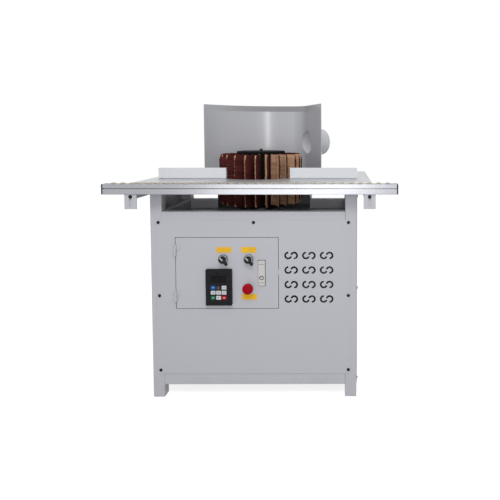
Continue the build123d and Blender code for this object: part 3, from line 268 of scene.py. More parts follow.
def abrasive_cloth(name):
    """Grit on cloth: dark red grains in patches, each finger a little different."""
    grit_depth = 0.0004
    graph = Graph(name, 0.9, gloss=0.12)
    grains = graph.cells(scale=900.0)
    patches = graph.noise(scale=45.0, detail=5.0)
    tone = graph.mix(graph.island(), srgb(56, 20, 20), srgb(80, 33, 33))
    tone = graph.mix(graph.spread(grains, 0.4, 0.0, start=0.1), tone, srgb(32, 9, 8))
    tone = graph.mix(graph.spread(patches, 0.0, 0.25), tone, srgb(102, 50, 42))
    graph.bump(grains, distance=grit_depth, strength=0.8)
    return graph.finish(tone)


def fibre(name):
    """Stiff plant fibre: each strand its own tan."""
    streak_depth = 0.0003
    graph = Graph(name, 0.8, gloss=0.12)
    streak = graph.noise(scale=160.0)
    tone = graph.mix(graph.island(), srgb(206, 158, 124), srgb(249, 212, 178))
    tone = graph.mix(graph.spread(streak, 0.0, 0.35), tone, srgb(142, 94, 64))
    graph.bump(streak, distance=streak_depth, strength=0.4)
    return graph.finish(tone)


def glass(name, colour):
    """Dark, smooth glass with slight smears."""
    graph = Graph(name, 0.1, gloss=0.08)
    smear = graph.noise(scale=120.0, detail=4.0)
    return graph.finish(graph.varied(smear, colour, 1.0, 1.4), graph.spread(smear, 0.08, 0.2))


# Lines along X, and lines along Z
level_grain = (0.03, 30.0, 30.0)
upright_grain = (30.0, 30.0, 0.5)
door_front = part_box("control_door")[0].y
door_sheet = 0.002
finish_of = {
    "grey_paint": paint("grey_paint_look", srgb(184, 185, 192)),
    "table_steel": ground_metal("table_steel_look", srgb(196, 197, 198), 0.38, level_grain, metallic=0.75),
    "hood_paint": paint("hood_look", srgb(172, 173, 178), roughness=0.34, peel=0.00002, coat=0.4),
    "rail_aluminium": drawn_rail("rail_look", srgb(167, 168, 174), 0.24, *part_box("roller_rail")),
    "fence_aluminium": ground_metal(
        "fence_look", srgb(207, 209, 214), 0.55, level_grain, metallic=0.0, gloss=0.3
    ),
    "black_steel": plastic("black_steel_look", srgb(20, 20, 22), gloss=0.2),
    "black_disc": plastic("black_disc_look", srgb(13, 13, 14), roughness=0.6, gloss=0.06),
    # Brush core near-black: painted shade for the deep gaps between the flaps
    "core_aluminium": casting("core_painted_shade_look", srgb(13, 10, 9), gloss=0.05),
    "abrasive_cloth": abrasive_cloth("abrasive_look"),
    "fibre": fibre("fibre_look"),
    "bright_steel": ground_metal("bright_steel_look", srgb(200, 202, 206), 0.25, upright_grain),
    "cast_iron": casting("cast_iron_look", srgb(86, 90, 94)),
    "motor_aluminium": casting("motor_look", srgb(120, 125, 132)),
    "plate_steel": paint("plate_look", srgb(110, 112, 118), roughness=0.5),
    "black_plastic": plastic("black_plastic_look", srgb(20, 20, 22), gloss=0.2),
    "roller_plastic": plastic("roller_look", srgb(178, 170, 152)),
    "chrome_ring": plating("chrome_look", srgb(186, 187, 190), 0.36, wall=door_front + door_sheet),
    "yellow_plastic": plastic("yellow_look", srgb(236, 184, 44), gloss=0.2, wear=1.1),
    "red_plastic": plastic("red_look", srgb(158, 0, 25), gloss=0.10, wear=1.1),
    "controller_plastic": plastic("controller_look", srgb(27, 27, 30), roughness=0.6, gloss=0.12),
    "lock_grey": paint("lock_grey_look", srgb(196, 193, 190), roughness=0.4),
    "lock_white": paint("lock_white_look", srgb(201, 198, 195), roughness=0.38),
    "lock_chrome": plating("lock_chrome_look", srgb(172, 171, 170), 0.3),
    "key_blue": plastic("key_blue_look", srgb(30, 88, 164), gloss=0.2, wear=1.15),
    "key_white": plastic("key_white_look", srgb(206, 208, 212), gloss=0.2, wear=1.1),
    "key_green": plastic("key_green_look", srgb(10, 100, 66), gloss=0.2, wear=1.15),
    "key_red": plastic("key_red_look", srgb(172, 22, 34), gloss=0.2, wear=1.15),
}
screen_look = glass("screen_look", srgb(12, 12, 13))
segment_look = glass("segment_look", srgb(30, 22, 22))
rim_look = plating("bezel_rim_look", srgb(112, 113, 116), 0.4)
terminal_look = plastic("terminal_look", srgb(148, 150, 148), roughness=0.5)
own_looks = {
    # Dust port in paler paint: painted light for the lit inside of the port
    "dust_port": paint("port_painted_light_look", srgb(199, 200, 204), roughness=0.4),
    # Brush guard in darker paint: painted shade for the dark inside of the cabinet
    "brush_guard": paint("guard_painted_shade_look", srgb(112, 113, 118), roughness=0.5),
    "speed_knob": plastic("knob_look", srgb(62, 56, 54), roughness=0.5),
}
for entry in frame["record"]["subparts"]:
    cad_piece = nodes[entry["node"]]
    cad_piece.data.materials.clear()
    cad_piece.data.materials.append(finish_of[entry["material_slot"]])
for node_name, look in own_looks.items():
    nodes[node_name].data.materials[0] = look

# Edges that a hand would find rounded
bevel_angle = math.radians(40)
key_edge = 0.0010
rounded_edges = {
    "controller_case": 0.0006,
    "controller_keypad": 0.0004,
    "lock_case": 0.0008,
    "lock_lever": 0.0006,
    "left_fence": 0.0006,
    "right_fence": 0.0006,
    "roller_rail": 0.0005,
    "rail_end_caps": 0.0008,
    "guide_rollers": 0.0018,
    "rail_brackets": 0.0005,
    "left_selector": 0.0008,
    "right_selector": 0.0008,
    "control_door": 0.0006,
}
rounded_edges.update({name: key_edge for name in nodes if name.startswith("key_")})
for node_name, width in rounded_edges.items():
    bevel = nodes[node_name].modifiers.new("rounded_edges", "BEVEL")
    bevel.width = width
    bevel.segments = 2
    bevel.limit_method = "ANGLE"
    bevel.angle_limit = bevel_angle


class Shape:
    """A mesh gathered from closed prisms, then linked as one piece."""

    def __init__(self):
        self.corners = []
        self.faces = []

    def prism(self, rings, hollow=False):
        """Join rings of equal length in a row, and close the ends or join the last to the first."""
        start = len(self.corners)
        sides = len(rings[0])
        for ring in rings:
            self.corners.extend(ring)
        last = start + (len(rings) - 1) * sides
        joined = [(start + level * sides, start + (level + 1) * sides) for level in range(len(rings) - 1)]
        if hollow:
            joined.append((last, start))
        else:
            self.faces.append(tuple(range(start, start + sides)))
            self.faces.append(tuple(range(last, last + sides)))
        for here, there in joined:
            for side in range(sides):
                after = (side + 1) % sides
                self.faces.append((here + side, here + after, there + after, there + side))

    def piece(self, name, slot, body, *replaced, look=None):
        """Link the mesh so that it rides on a body and takes a slot's finish."""
        mesh = bpy.data.meshes.new(name)
        mesh.from_pydata(self.corners, [], self.faces)
        solid = bmesh.new()
        solid.from_mesh(mesh)
        bmesh.ops.recalc_face_normals(solid, faces=solid.faces)
        for face in solid.faces:
            face.smooth = False
        solid.to_mesh(mesh)
        solid.free()
        mesh.materials.append(look or finish_of[slot])
        made = bpy.data.objects.new(name, mesh)
        bpy.context.scene.collection.objects.link(made)
        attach(made, body)
        if replaced:
            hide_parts(*replaced)


corner_steps = 4
ring_points = 24


def middle(low, high):
    return (low + high) / 2


def rounded_outline(width, height, radius):
    """Points round a rectangle with rounded corners."""
    points = []
    for turn, (side, up) in enumerate(((1, 1), (-1, 1), (-1, -1), (1, -1))):
        for step in range(corner_steps + 1):
            angle = math.pi / 2 * (turn + step / corner_steps)
            points.append((
                side * (width / 2 - radius) + radius * math.cos(angle),
                up * (height / 2 - radius) + radius * math.sin(angle),
            ))
    return points


def rectangle_outline(half_width, half_height):
    return [(u * half_width, v * half_height) for u, v in ((-1, -1), (1, -1), (1, 1), (-1, 1))]


def with_mirror(points):
    """A row of points, then the same row backwards on the other side of the middle."""
    return points + [(y, -z) for y, z in reversed(points)]


def circle_outline(radius, count=ring_points):
    return [
        (radius * math.cos(2 * math.pi * step / count), radius * math.sin(2 * math.pi * step / count))
        for step in range(count)
    ]


def hexagon_outline(radius):
    """A hexagon with as many points as a circle, so that the two can be joined."""
    points = []
    for step in range(ring_points):
        angle = 2 * math.pi * step / ring_points
        reach = radius * math.cos(math.pi / 6) / math.cos((angle % (math.pi / 3)) - math.pi / 6)
        points.append((reach * math.cos(angle), reach * math.sin(angle)))
    return points


def front_ring(outline, x, y, z, turn=0.0):
    """An outline set upright in a plane that faces the operator, turned about its middle."""
    return [
        (x + u * math.cos(turn) - v * math.sin(turn), y, z + u * math.sin(turn) + v * math.cos(turn))
        for u, v in outline
    ]


def plate(shape, x, front, z, width, height, thickness, radius, edge, turn=0.0):
    """A plate that faces the operator, with rounded corners and a bevelled front edge."""
    full = rounded_outline(width, height, radius)
    inset = rounded_outline(width - 2 * edge, height - 2 * edge, max(radius - edge, edge / 4))
    shape.prism([
        front_ring(full, x, front + thickness, z, turn),
        front_ring(full, x, front + edge, z, turn),
        front_ring(inset, x, front, z, turn),
    ])


def facing_front(x, y, z):
    """Rings that rise towards the operator from a point."""
    return lambda outline, rise: front_ring(outline, x, y - rise, z)


def facing_up(x, y, z):
    """Rings that rise upwards from a point."""
    return lambda outline, rise: [(x + u, y + v, z + rise) for u, v in outline]


def facing_back(x, y, z):
    """Rings that rise towards the rear from a point."""
    return lambda outline, rise: [(x - u, y + rise, z + v) for u, v in outline]


def facing_side(x, y, z):
    """Rings that rise away from the machine's middle from a point on its side."""
    away = math.copysign(1.0, x)
    return lambda outline, rise: [(x + away * rise, y + away * u, z + v) for u, v in outline]


def band(shape, ring_at, outer, inner, low, high):
    """A closed band between two outlines."""
    levels = ((outer, low), (outer, high), (inner, high), (inner, low))
    shape.prism([ring_at(outline, rise) for outline, rise in levels], hollow=True)


def socket_screw(shape, ring_at, radius, height):
    """A button head with a six-sided socket, in shares of its radius and height."""
    dome = ((1.0, 0.0), (1.0, 0.35), (0.94, 0.62), (0.80, 0.84), (0.62, 0.97), (0.55, 1.0))
    socket = ((0.50, 1.0), (0.46, 0.25))
    rings = [ring_at(circle_outline(radius * out), height * rise) for out, rise in dome]
    rings += [ring_at(hexagon_outline(radius * out), height * rise) for out, rise in socket]
    shape.prism(rings)


def hexagon_bolt(shape, ring_at, radius, height, shank):
    """A six-sided head, chamfered at its top, on a washer and a shank."""
    shank_outline = circle_outline(radius * 0.5)
    washer_outline = circle_outline(radius)
    head_outline = hexagon_outline(radius * 0.88)
    top_outline = circle_outline(radius * 0.70)
    washer = height * 0.25
    chamfer = height * 0.88
    shape.prism([
        ring_at(shank_outline, -shank),
        ring_at(shank_outline, 0.0),
        ring_at(washer_outline, 0.0),
        ring_at(washer_outline, washer),
        ring_at(head_outline, washer),
        ring_at(head_outline, chamfer),
        ring_at(top_outline, height),
    ])


def loose_boxes(node_name):
    """Lowest and highest corners of each loose solid of a node, in a steady order."""
    same_point = 0.000001
    solid = bmesh.new()
    solid.from_mesh(nodes[node_name].data)
    bmesh.ops.remove_doubles(solid, verts=solid.verts, dist=same_point)
    waiting = set(solid.verts)
    boxes = []
    while waiting:
        found = [waiting.pop()]
        for vertex in found:
            for edge in vertex.link_edges:
                other = edge.other_vert(vertex)
                if other in waiting:
                    waiting.remove(other)
                    found.append(other)
        low = Vector([min(vertex.co[axis] for vertex in found) for axis in range(3)])
        high = Vector([max(vertex.co[axis] for vertex in found) for axis in range(3)])
        boxes.append((low, high))
    solid.free()
    return sorted(boxes, key=lambda box: tuple(box[0]))


# Brush: leaning flaps slashed into fingers, with tufts of fibre behind them
flap_low, flap_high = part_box("abrasive_flaps")
core_low, core_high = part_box("brush_core")
pack_low, pack_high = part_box("bristle_packs")
brush_axis = middle(core_low, core_high)
brush_radius = 0.180
core_radius = (core_high.x - core_low.x) / 2
flap_count = 24
first_flap = math.radians(6.0)
flap_lean = math.radians(11.0)
flap_length = math.sqrt(brush_radius ** 2 - (core_radius * math.sin(flap_lean)) ** 2)
flap_length -= core_radius * math.cos(flap_lean)
flap_root = -0.0175
flap_offset = 0.0033
flap_half = 0.0010
flap_corner = 0.008
flap_bow = 0.008
flap_sway_back = -0.003
flap_sway_ahead = 0.006
flap_steps = 10
finger_count = 10
finger_height = (flap_high.z - flap_low.z) / finger_count
finger_sway_back = -0.0004
finger_sway_ahead = 0.0006
finger_droop = 0.0008
finger_shortfall = 0.0004
slash_length = 0.062
slash_start = flap_length - slash_length
slash_half = 0.00015
# A slash is at its full width after a twelfth of its length
slash_opening = 12


def brush_point(angle, along, across, height):
    """A point of a leaning flap or pack, along it from the mouth of its slot, across it and up."""
    out = core_radius + along * math.cos(flap_lean) + across * math.sin(flap_lean)
    side = across * math.cos(flap_lean) - along * math.sin(flap_lean)
    return (
        brush_axis.x + out * math.cos(angle) - side * math.sin(angle),
        brush_axis.y + out * math.sin(angle) + side * math.cos(angle),
        height,
    )


def flap_tip(height):
    """How far out a flap goes at a height: less where its corners are rounded."""
    inset = flap_corner - min(flap_corner, height - flap_low.z, flap_high.z - height)
    return flap_length - flap_corner + math.sqrt(max(0.0, flap_corner ** 2 - inset ** 2))


def curl(along, sway):
    """Sideways shift of a flap and its pack: a bulge part way out, and a sway of the free end."""
    share = max(0.0, along / flap_length)
    return flap_bow * 4 * share * (1 - share) + sway * share * share


def finger(shape, angle, flap_sway, low, high):
    """One finger of a flap, from its root in the core to its swaying free end."""
    sway = flap_sway + dice.uniform(finger_sway_back, finger_sway_ahead)
    droop = dice.uniform(-finger_droop, finger_droop)
    rings = []
    for step in range(flap_steps + 1):
        ring = []
        for height, gap in ((low, slash_half), (high, -slash_half)):
            tip = flap_tip(height) - finger_shortfall
            along = flap_root + (tip - flap_root) * step / flap_steps
            free = max(0.0, (along - slash_start) / (flap_length - slash_start))
            edge = height + gap * min(1.0, free * slash_opening) + droop * free
            across = flap_offset + curl(along, sway)
            ring.append((along, across, min(max(edge, flap_low.z), flap_high.z)))
        (low_along, low_across, low_edge), (high_along, high_across, high_edge) = ring
        rings.append([
            brush_point(angle, low_along, low_across - flap_half, low_edge),
            brush_point(angle, low_along, low_across + flap_half, low_edge),
            brush_point(angle, high_along, high_across + flap_half, high_edge),
            brush_point(angle, high_along, high_across - flap_half, high_edge),
        ])
    shape.prism(rings)


flap_places = [
    (first_flap + 2 * math.pi * index / flap_count, dice.uniform(flap_sway_back, flap_sway_ahead))
    for index in range(flap_count)
]
flaps = Shape()
for angle, flap_sway in flap_places:
    for index in range(finger_count):
        low = flap_low.z + index * finger_height
        finger(flaps, angle, flap_sway, low, low + finger_height)
flaps.piece("slashed_flaps", "abrasive_cloth", "brush", "abrasive_flaps")

tuft_count = 16
tuft_pitch = (pack_high.z - pack_low.z) / tuft_count
pack_middle = -0.0011
pack_half = 0.0030
pack_edge = 0.0030
strands_across = 4
strands_up = 5
strand_rings = 5
strand_sides = 4
strand_root = -0.001
strand_shortfall = 0.003
strand_unevenness = 0.005
strand_drift_back = -0.0014
strand_drift_ahead = 0.0006
strand_drift_up = 0.0012
strand_turn = 2.0
strand_rows_share = 0.98
strand_half = 0.00145
strand_thinning = 0.00050
tuft_width = 0.0042
tuft_gathering = 0.0012
tuft_retreat = 0.0010


def within_pack(height):
    """The nearest height at which a strand stays inside its pack."""
    return min(max(height, pack_low.z + pack_edge), pack_high.z - pack_edge)


def strand(shape, angle, sway, across_share, tuft_height, up_share):
    """One strand of a tuft: it leans and thins a little towards its tip."""
    reach = flap_tip(within_pack(tuft_height + up_share * tuft_pitch))
    reach -= strand_shortfall + dice.uniform(0.0, strand_unevenness)
    drift_across = dice.uniform(strand_drift_back, strand_drift_ahead)
    drift_up = dice.uniform(-strand_drift_up, strand_drift_up)
    turn = dice.uniform(0.0, strand_turn)
    rings = []
    for step in range(strand_rings):
        share = step / (strand_rings - 1)
        splay = share * share
        along = strand_root + (reach - strand_root) * share
        across = pack_middle + across_share * (tuft_width - tuft_gathering * splay) - tuft_retreat * splay
        across += curl(along, sway) + drift_across * splay
        height = within_pack(tuft_height + up_share * tuft_pitch * strand_rows_share + drift_up * share)
        half = strand_half - strand_thinning * share
        corners = [turn + 2 * math.pi * side / strand_sides for side in range(strand_sides)]
        rings.append([
            brush_point(angle, along, across + half * math.cos(corner), height + half * math.sin(corner))
            for corner in corners
        ])
    shape.prism(rings)


tufts = Shape()
for angle, flap_sway in flap_places:
    for tuft in range(tuft_count):
        tuft_height = pack_low.z + (tuft + 0.5) * tuft_pitch
        for column in range(strands_across):
            across_share = (column + 0.5) / strands_across - 0.5
            for row in range(strands_up):
                up_share = (row + 0.5) / strands_up - 0.5
                strand(tufts, angle, flap_sway, across_share, tuft_height, up_share)
    tufts.prism([
        [
            brush_point(angle, along, pack_middle - pack_half, pack_low.z),
            brush_point(angle, along, pack_middle + pack_half, pack_low.z),
            brush_point(angle, along, pack_middle + pack_half, pack_high.z),
            brush_point(angle, along, pack_middle - pack_half, pack_high.z),
        ]
        for along in (flap_root, 0.0)
    ])
tufts.piece("fibre_tufts", "fibre", "brush", "bristle_packs")

# Bare legend plates on the door, each with two rivets
plate_width = 0.0575
plate_thickness = 0.0010
plate_front = door_front - plate_thickness
plate_places = {
    "left_legend_plate": (-0.115, 0.5835),
    "right_legend_plate": (-0.019, 0.5835),
    "stop_legend_plate": (-0.0175, 0.3992),
}
rivet_inset = 0.0035
rivet_points = 12
# Radius and rise of the rings of a rivet's head
rivet_rings = ((0.0013, 0.0), (0.0012, 0.0003), (0.0006, 0.0005))
for plate_name, (x, z) in plate_places.items():
    legend = Shape()
    plate(
        legend, x, plate_front, z,
        width=plate_width, height=0.022, thickness=plate_thickness, radius=0.0015, edge=0.0003,
    )
    for side in (-1, 1):
        rivet_at = facing_front(x + side * (plate_width / 2 - rivet_inset), plate_front, z)
        legend.prism([rivet_at(circle_outline(radius, rivet_points), rise) for radius, rise in rivet_rings])
    legend.piece(plate_name, "yellow_plastic", "door")

# Screen of the speed controller, with thin unlit figures on it
keypad_low, keypad_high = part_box("controller_keypad")
keypad_middle = middle(keypad_low, keypad_high)
screen_z = keypad_middle.z + 0.0375
screen_front = keypad_low.y + 0.0004
screen = Shape()
plate(
    screen, keypad_middle.x, screen_front, screen_z,
    width=0.0576, height=0.0266, thickness=0.0007, radius=0.0005, edge=0.0002,
)
screen.piece("screen_window", "controller_plastic", "door", look=screen_look)
figure_count = 4
figure_pitch = 0.0105
figure_height = 0.0140
figure_width = 0.0066
figure_z = screen_z - 0.002
light_z = screen_z + 0.0105
stroke = 0.0013
segment_front = screen_front - 0.0001


def segment(shape, x, z, width, height, radius=0.0004):
    """A thin flat segment on the front of the screen."""
    plate(shape, x, segment_front, z, width, height, thickness=0.0002, radius=radius, edge=0.00005)


figures = Shape()
lights = Shape()
for index in range(figure_count):
    figure_x = keypad_middle.x + (index - (figure_count - 1) / 2) * figure_pitch
    for level in (-1, 0, 1):
        segment(figures, figure_x, figure_z + level * figure_height / 2, figure_width - stroke, stroke)
    for side in (-1, 1):
        for level in (-1, 1):
            bar_x = figure_x + side * figure_width / 2
            bar_z = figure_z + level * figure_height / 4
            segment(figures, bar_x, bar_z, stroke, figure_height / 2 - stroke)
    segment(lights, figure_x, light_z, width=0.0030, height=0.0013, radius=0.0005)
figures.piece("screen_figures", "controller_plastic", "door", look=segment_look)
lights.piece("screen_lights", "controller_plastic", "door", look=segment_look)

# Cooling fins on the back of the controller, and ribs on its sides
case_low, case_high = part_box("controller_case")
case_middle = middle(case_low, case_high)
body_half_width = 0.045
body_half_height = 0.064
body_bottom = case_middle.z - body_half_height
body_top = case_middle.z + body_half_height
fin_count = 11
fin_half = 0.0008
fin_rise = 0.006
fin_inset = 0.008
fin_pitch = 2 * (body_half_width - fin_inset) / (fin_count - 1)
# Half thickness, rise and inset of the rings of a tapered fin
fin_rings = (
    (fin_half * 1.6, -0.0005, fin_inset),
    (fin_half, fin_rise * 0.9, fin_inset),
    (fin_half * 0.6, fin_rise, fin_inset + 0.0004),
)
fins = Shape()
for index in range(fin_count):
    fin_x = case_middle.x - body_half_width + fin_inset + index * fin_pitch
    fins.prism([
        [
            (fin_x - half, case_high.y + rise, body_bottom + inset),
            (fin_x + half, case_high.y + rise, body_bottom + inset),
            (fin_x + half, case_high.y + rise, body_top - inset),
            (fin_x - half, case_high.y + rise, body_top - inset),
        ]
        for half, rise, inset in fin_rings
    ])
fins.piece("case_fins", "motor_aluminium", "door")
rib_count = 12
rib_half = 0.0012
rib_rise = 0.0008
rib_sink = 0.0003
rib_inset = 2 * fin_inset
rib_pitch = 2 * (body_half_height - rib_inset) / (rib_count - 1)
rib_back = case_high.y - fin_inset
rib_front = middle(door_front, case_high.y)
ribs = Shape()
for side in (-1, 1):
    wall_x = case_middle.x + side * body_half_width
    for index in range(rib_count):
        rib_z = body_bottom + rib_inset + index * rib_pitch
        ribs.prism([
            [
                (wall_x + side * rise, rib_front + inset, rib_z - half),
                (wall_x + side * rise, rib_back - inset, rib_z - half),
                (wall_x + side * rise, rib_back - inset, rib_z + half),
                (wall_x + side * rise, rib_front + inset, rib_z + half),
            ]
            for half, rise, inset in ((rib_half, -rib_sink, 0.0), (rib_half / 2, rib_rise, rib_half))
        ])
ribs.piece("case_ribs", "controller_plastic", "door")

# Plain marks on the keys: arrows, bars, a dot and a square
mark_sink = 0.0003
mark_rise = 0.00012
arrow = [(-0.0030, -0.0018), (0.0030, -0.0018), (0.0, 0.0026)]
square = rectangle_outline(0.0024, 0.0024)
bar = rectangle_outline(0.0035, 0.0009)
dot = circle_outline(0.0026, 16)
key_marks = {
    "key_1_1": (bar, 0.0, "key_white"),
    "key_1_3": (bar, math.pi / 2, "black_plastic"),
    "key_2_1": (arrow, math.pi / 2, "black_plastic"),
    "key_2_2": (arrow, 0.0, "black_plastic"),
    "key_2_3": (arrow, -math.pi / 2, "black_plastic"),
    "key_3_1": (dot, 0.0, "key_white"),
    "key_3_2": (arrow, math.pi, "black_plastic"),
    "key_3_3": (square, 0.0, "key_white"),
}
for key_name, (outline, turn, slot) in key_marks.items():
    key_low, key_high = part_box(key_name)
    key_middle = middle(key_low, key_high)
    mark = Shape()
    mark.prism([
        front_ring(outline, key_middle.x, key_low.y + mark_sink, key_middle.z, turn),
        front_ring(outline, key_middle.x, key_low.y - mark_rise, key_middle.z, turn),
    ])
    mark.piece(key_name + "_mark", slot, key_name)

# White pointer lines on the selector knobs, and a fine knurl round their chrome rings
joint_named = {joint["name"]: joint for joint in frame["record"]["behaviour"]["joints"]}
pointer_turn = math.radians(-47.5)
pointer_offset = 0.0045
pointer_rise = 0.0004
knurl_count = 48
knurl_radius = 0.0171
knurl_front = door_front - 0.0116
for side in ("left", "right"):
    axis_x, _, axis_z = joint_named[side + "_selector_turn"]["pos_m"]
    pointer = Shape()
    plate(
        pointer,
        axis_x - pointer_offset * math.cos(pointer_turn),
        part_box(side + "_selector")[0].y - pointer_rise,
        axis_z - pointer_offset * math.sin(pointer_turn),
        width=0.0150, height=0.0038, thickness=0.0006, radius=0.0014, edge=0.0002, turn=pointer_turn,
    )
    pointer.piece(side + "_selector_pointer", "key_white", side + "_selector")
    knurl = Shape()
    for index in range(knurl_count):
        angle = 2 * math.pi * index / knurl_count
        plate(
            knurl,
            axis_x + knurl_radius * math.cos(angle),
            knurl_front,
            axis_z + knurl_radius * math.sin(angle),
            width=0.0011, height=0.0014, thickness=0.0114, radius=0.0003, edge=0.0001, turn=angle,
        )
    knurl.piece(side + "_bezel_knurl", "chrome_ring", "door", look=rim_look)

# A pointer on the speed knob, and raised arrows round the crown of the emergency stop
knob_low, knob_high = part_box("speed_knob")
knob_middle = middle(knob_low, knob_high)
knob_pointer = Shape()
plate(
    knob_pointer, knob_middle.x, knob_low.y - 0.0002, knob_middle.z + 0.0020,
    width=0.0010, height=0.0030, thickness=0.0005, radius=0.0004, edge=0.0001,
)
knob_pointer.piece("knob_pointer", "black_plastic", "speed_knob")
stop_low, stop_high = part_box("stop_head")
stop_middle = middle(stop_low, stop_high)
crown_radius = 0.106
arrow_count = 3
arrow_inner = 0.0118
arrow_outer = 0.0140
arrow_start = math.radians(30)
arrow_span = math.radians(70)
arrow_steps = 12
arrow_point = 3
arrow_flare = 0.0020
arrow_tip = 0.0010
arrow_sink = 0.0004
arrow_rise = 0.0003


def crown_place(radius, angle, rise):
    """A point above the crown of the emergency stop, at a distance from its middle."""
    fall = crown_radius - math.sqrt(crown_radius ** 2 - radius ** 2)
    return (
        stop_middle.x + radius * math.cos(angle),
        stop_low.y + fall - rise,
        stop_middle.z + radius * math.sin(angle),
    )


stop_arrows = Shape()
for index in range(arrow_count):
    rings = []
    for step in range(arrow_steps + 1):
        angle = arrow_start + 2 * math.pi * index / arrow_count - arrow_span * step / arrow_steps
        flare = 0.0
        if step > arrow_steps - arrow_point:
            left = (arrow_steps - step) / (arrow_point - 1)
            flare = arrow_flare * left - arrow_tip * (1 - left)
        inner = arrow_inner - flare
        outer = arrow_outer + flare
        rings.append([
            crown_place(inner, angle, -arrow_sink),
            crown_place(outer, angle, -arrow_sink),
            crown_place(outer, angle, arrow_rise),
            crown_place(inner, angle, arrow_rise),
        ])
    stop_arrows.prism(rings)
stop_arrows.piece("stop_arrows", "red_plastic", "stop_head")

# Near-black insert in the floor of the thumb notch above the keypad: painted shade for the shaded recess
notch_radius = 0.0108
notch_steps = 16
notch_gap = 0.0002
notch_sink = 0.0002
notch_rise = 0.0006
notch_at = facing_front(keypad_middle.x, door_front - 0.0080, keypad_high.z + notch_gap)
notch_angles = [math.pi * step / notch_steps for step in range(notch_steps + 1)]
notch_outline = [(notch_radius * math.cos(angle), notch_radius * math.sin(angle)) for angle in notch_angles]
notch_shade = Shape()
notch_shade.prism([notch_at(notch_outline, rise) for rise in (-notch_sink, notch_rise)])
notch_shade.piece("notch_painted_shade", "black_plastic", "door")

# Lock: a dark band round its case as painted shadow, ring and key slot of the button, and finger lines on
# the lever
lock_low, lock_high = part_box("lock_case")
lock_middle = middle(lock_low, lock_high)
lock_width = lock_high.x - lock_low.x
lock_height = lock_high.z - lock_low.z
# Dark band round the lock case: painted shadow of the raised case on the door
shadow_band_margin = 0.0014
shadow_band_overlap = 0.0001
shadow_band_rise = 0.0008
shadow_band_outer = rounded_outline(lock_width + 2 * shadow_band_margin, lock_height + 2 * shadow_band_margin, 0.0020)
shadow_band_inner = rounded_outline(lock_width - 2 * shadow_band_overlap, lock_height - 2 * shadow_band_overlap, 0.0010)
shadow_band_at = facing_front(lock_middle.x, door_front, lock_middle.z)
lock_shadow_band = Shape()
band(lock_shadow_band, shadow_band_at, shadow_band_outer, shadow_band_inner, 0.0, shadow_band_rise)
lock_shadow_band.piece("lock_painted_shadow", "black_plastic", "door")
button_low, button_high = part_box("lock_button")
button_middle = middle(button_low, button_high)
key_slot = Shape()
plate(
    key_slot, button_middle.x, button_low.y - 0.0001, button_middle.z,
    width=0.0011, height=0.0062, thickness=0.0003, radius=0.0004, edge=0.00005,
)
key_slot.piece("button_key_slot", "black_plastic", "lock_button")
lever_low, lever_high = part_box("lock_lever")
lever_lines = Shape()
for line_z in (lever_high.z - 0.0100, lever_high.z - 0.0130, lever_low.z + 0.0050):
    plate(
        lever_lines, button_middle.x, lever_low.y - 0.0002, line_z,
        width=0.0130, height=0.0010, thickness=0.0005, radius=0.0004, edge=0.0001,
    )
lever_lines.piece("lever_grip_lines", "lock_grey", "lock_lever")
collar_outer = circle_outline(0.0088)
collar_inner = circle_outline(0.0075)
collar_rise = 0.0002
collar_at = facing_front(button_middle.x, lever_low.y, button_middle.z)
collar = Shape()
band(collar, collar_at, collar_outer, collar_inner, -collar_rise, collar_rise)
collar.piece("button_collar", "black_plastic", "lock_lever")

# Screws of the panels, and bolts of the fences, the rail brackets and the hood
screw_head = 0.003
fence_bolt_head = 0.007
clamp_head = 0.0025
long_bolt = 0.02
heads = Shape()
for low, high in loose_boxes("panel_screws"):
    centre = middle(low, high)
    seat = facing_front(centre.x, low.y + screw_head, centre.z)
    socket_screw(heads, seat, (high.x - low.x) / 2, screw_head)
heads.piece("panel_screw_heads", "black_steel", "cabinet", "panel_screws")
cover_radius = 0.0055
cover_inset = 0.016
cover_screws = Shape()
for low, high in loose_boxes("rear_panel"):
    centre = middle(low, high)
    for z in (low.z + cover_inset, centre.z, high.z - cover_inset):
        for x in (low.x + cover_inset, high.x - cover_inset):
            socket_screw(cover_screws, facing_back(x, high.y, z), cover_radius, screw_head)
for low, high in loose_boxes("side_panels"):
    centre = middle(low, high)
    outer = high.x if centre.x > 0 else low.x
    for z in (low.z + cover_inset, centre.z, high.z - cover_inset):
        for y in (low.y + cover_inset, high.y - cover_inset):
            socket_screw(cover_screws, facing_side(outer, y, z), cover_radius, screw_head)
cover_screws.piece("cover_screw_heads", "black_steel", "cabinet")
bolts = Shape()
for low, high in loose_boxes("table_bolts"):
    centre = middle(low, high)
    size = high - low
    if size.z > long_bolt:
        seat = facing_up(centre.x, centre.y, high.z - fence_bolt_head)
        hexagon_bolt(bolts, seat, size.x / 2, fence_bolt_head, size.z - fence_bolt_head)
    elif size.y > long_bolt:
        seat = facing_front(centre.x, low.y + clamp_head, centre.z)
        hexagon_bolt(bolts, seat, size.x / 2, clamp_head, size.y - clamp_head)
    else:
        socket_screw(bolts, facing_up(centre.x, centre.y, high.z - screw_head), size.x / 2, screw_head)
bolts.piece("table_bolt_heads", "black_steel", "cabinet", "table_bolts")

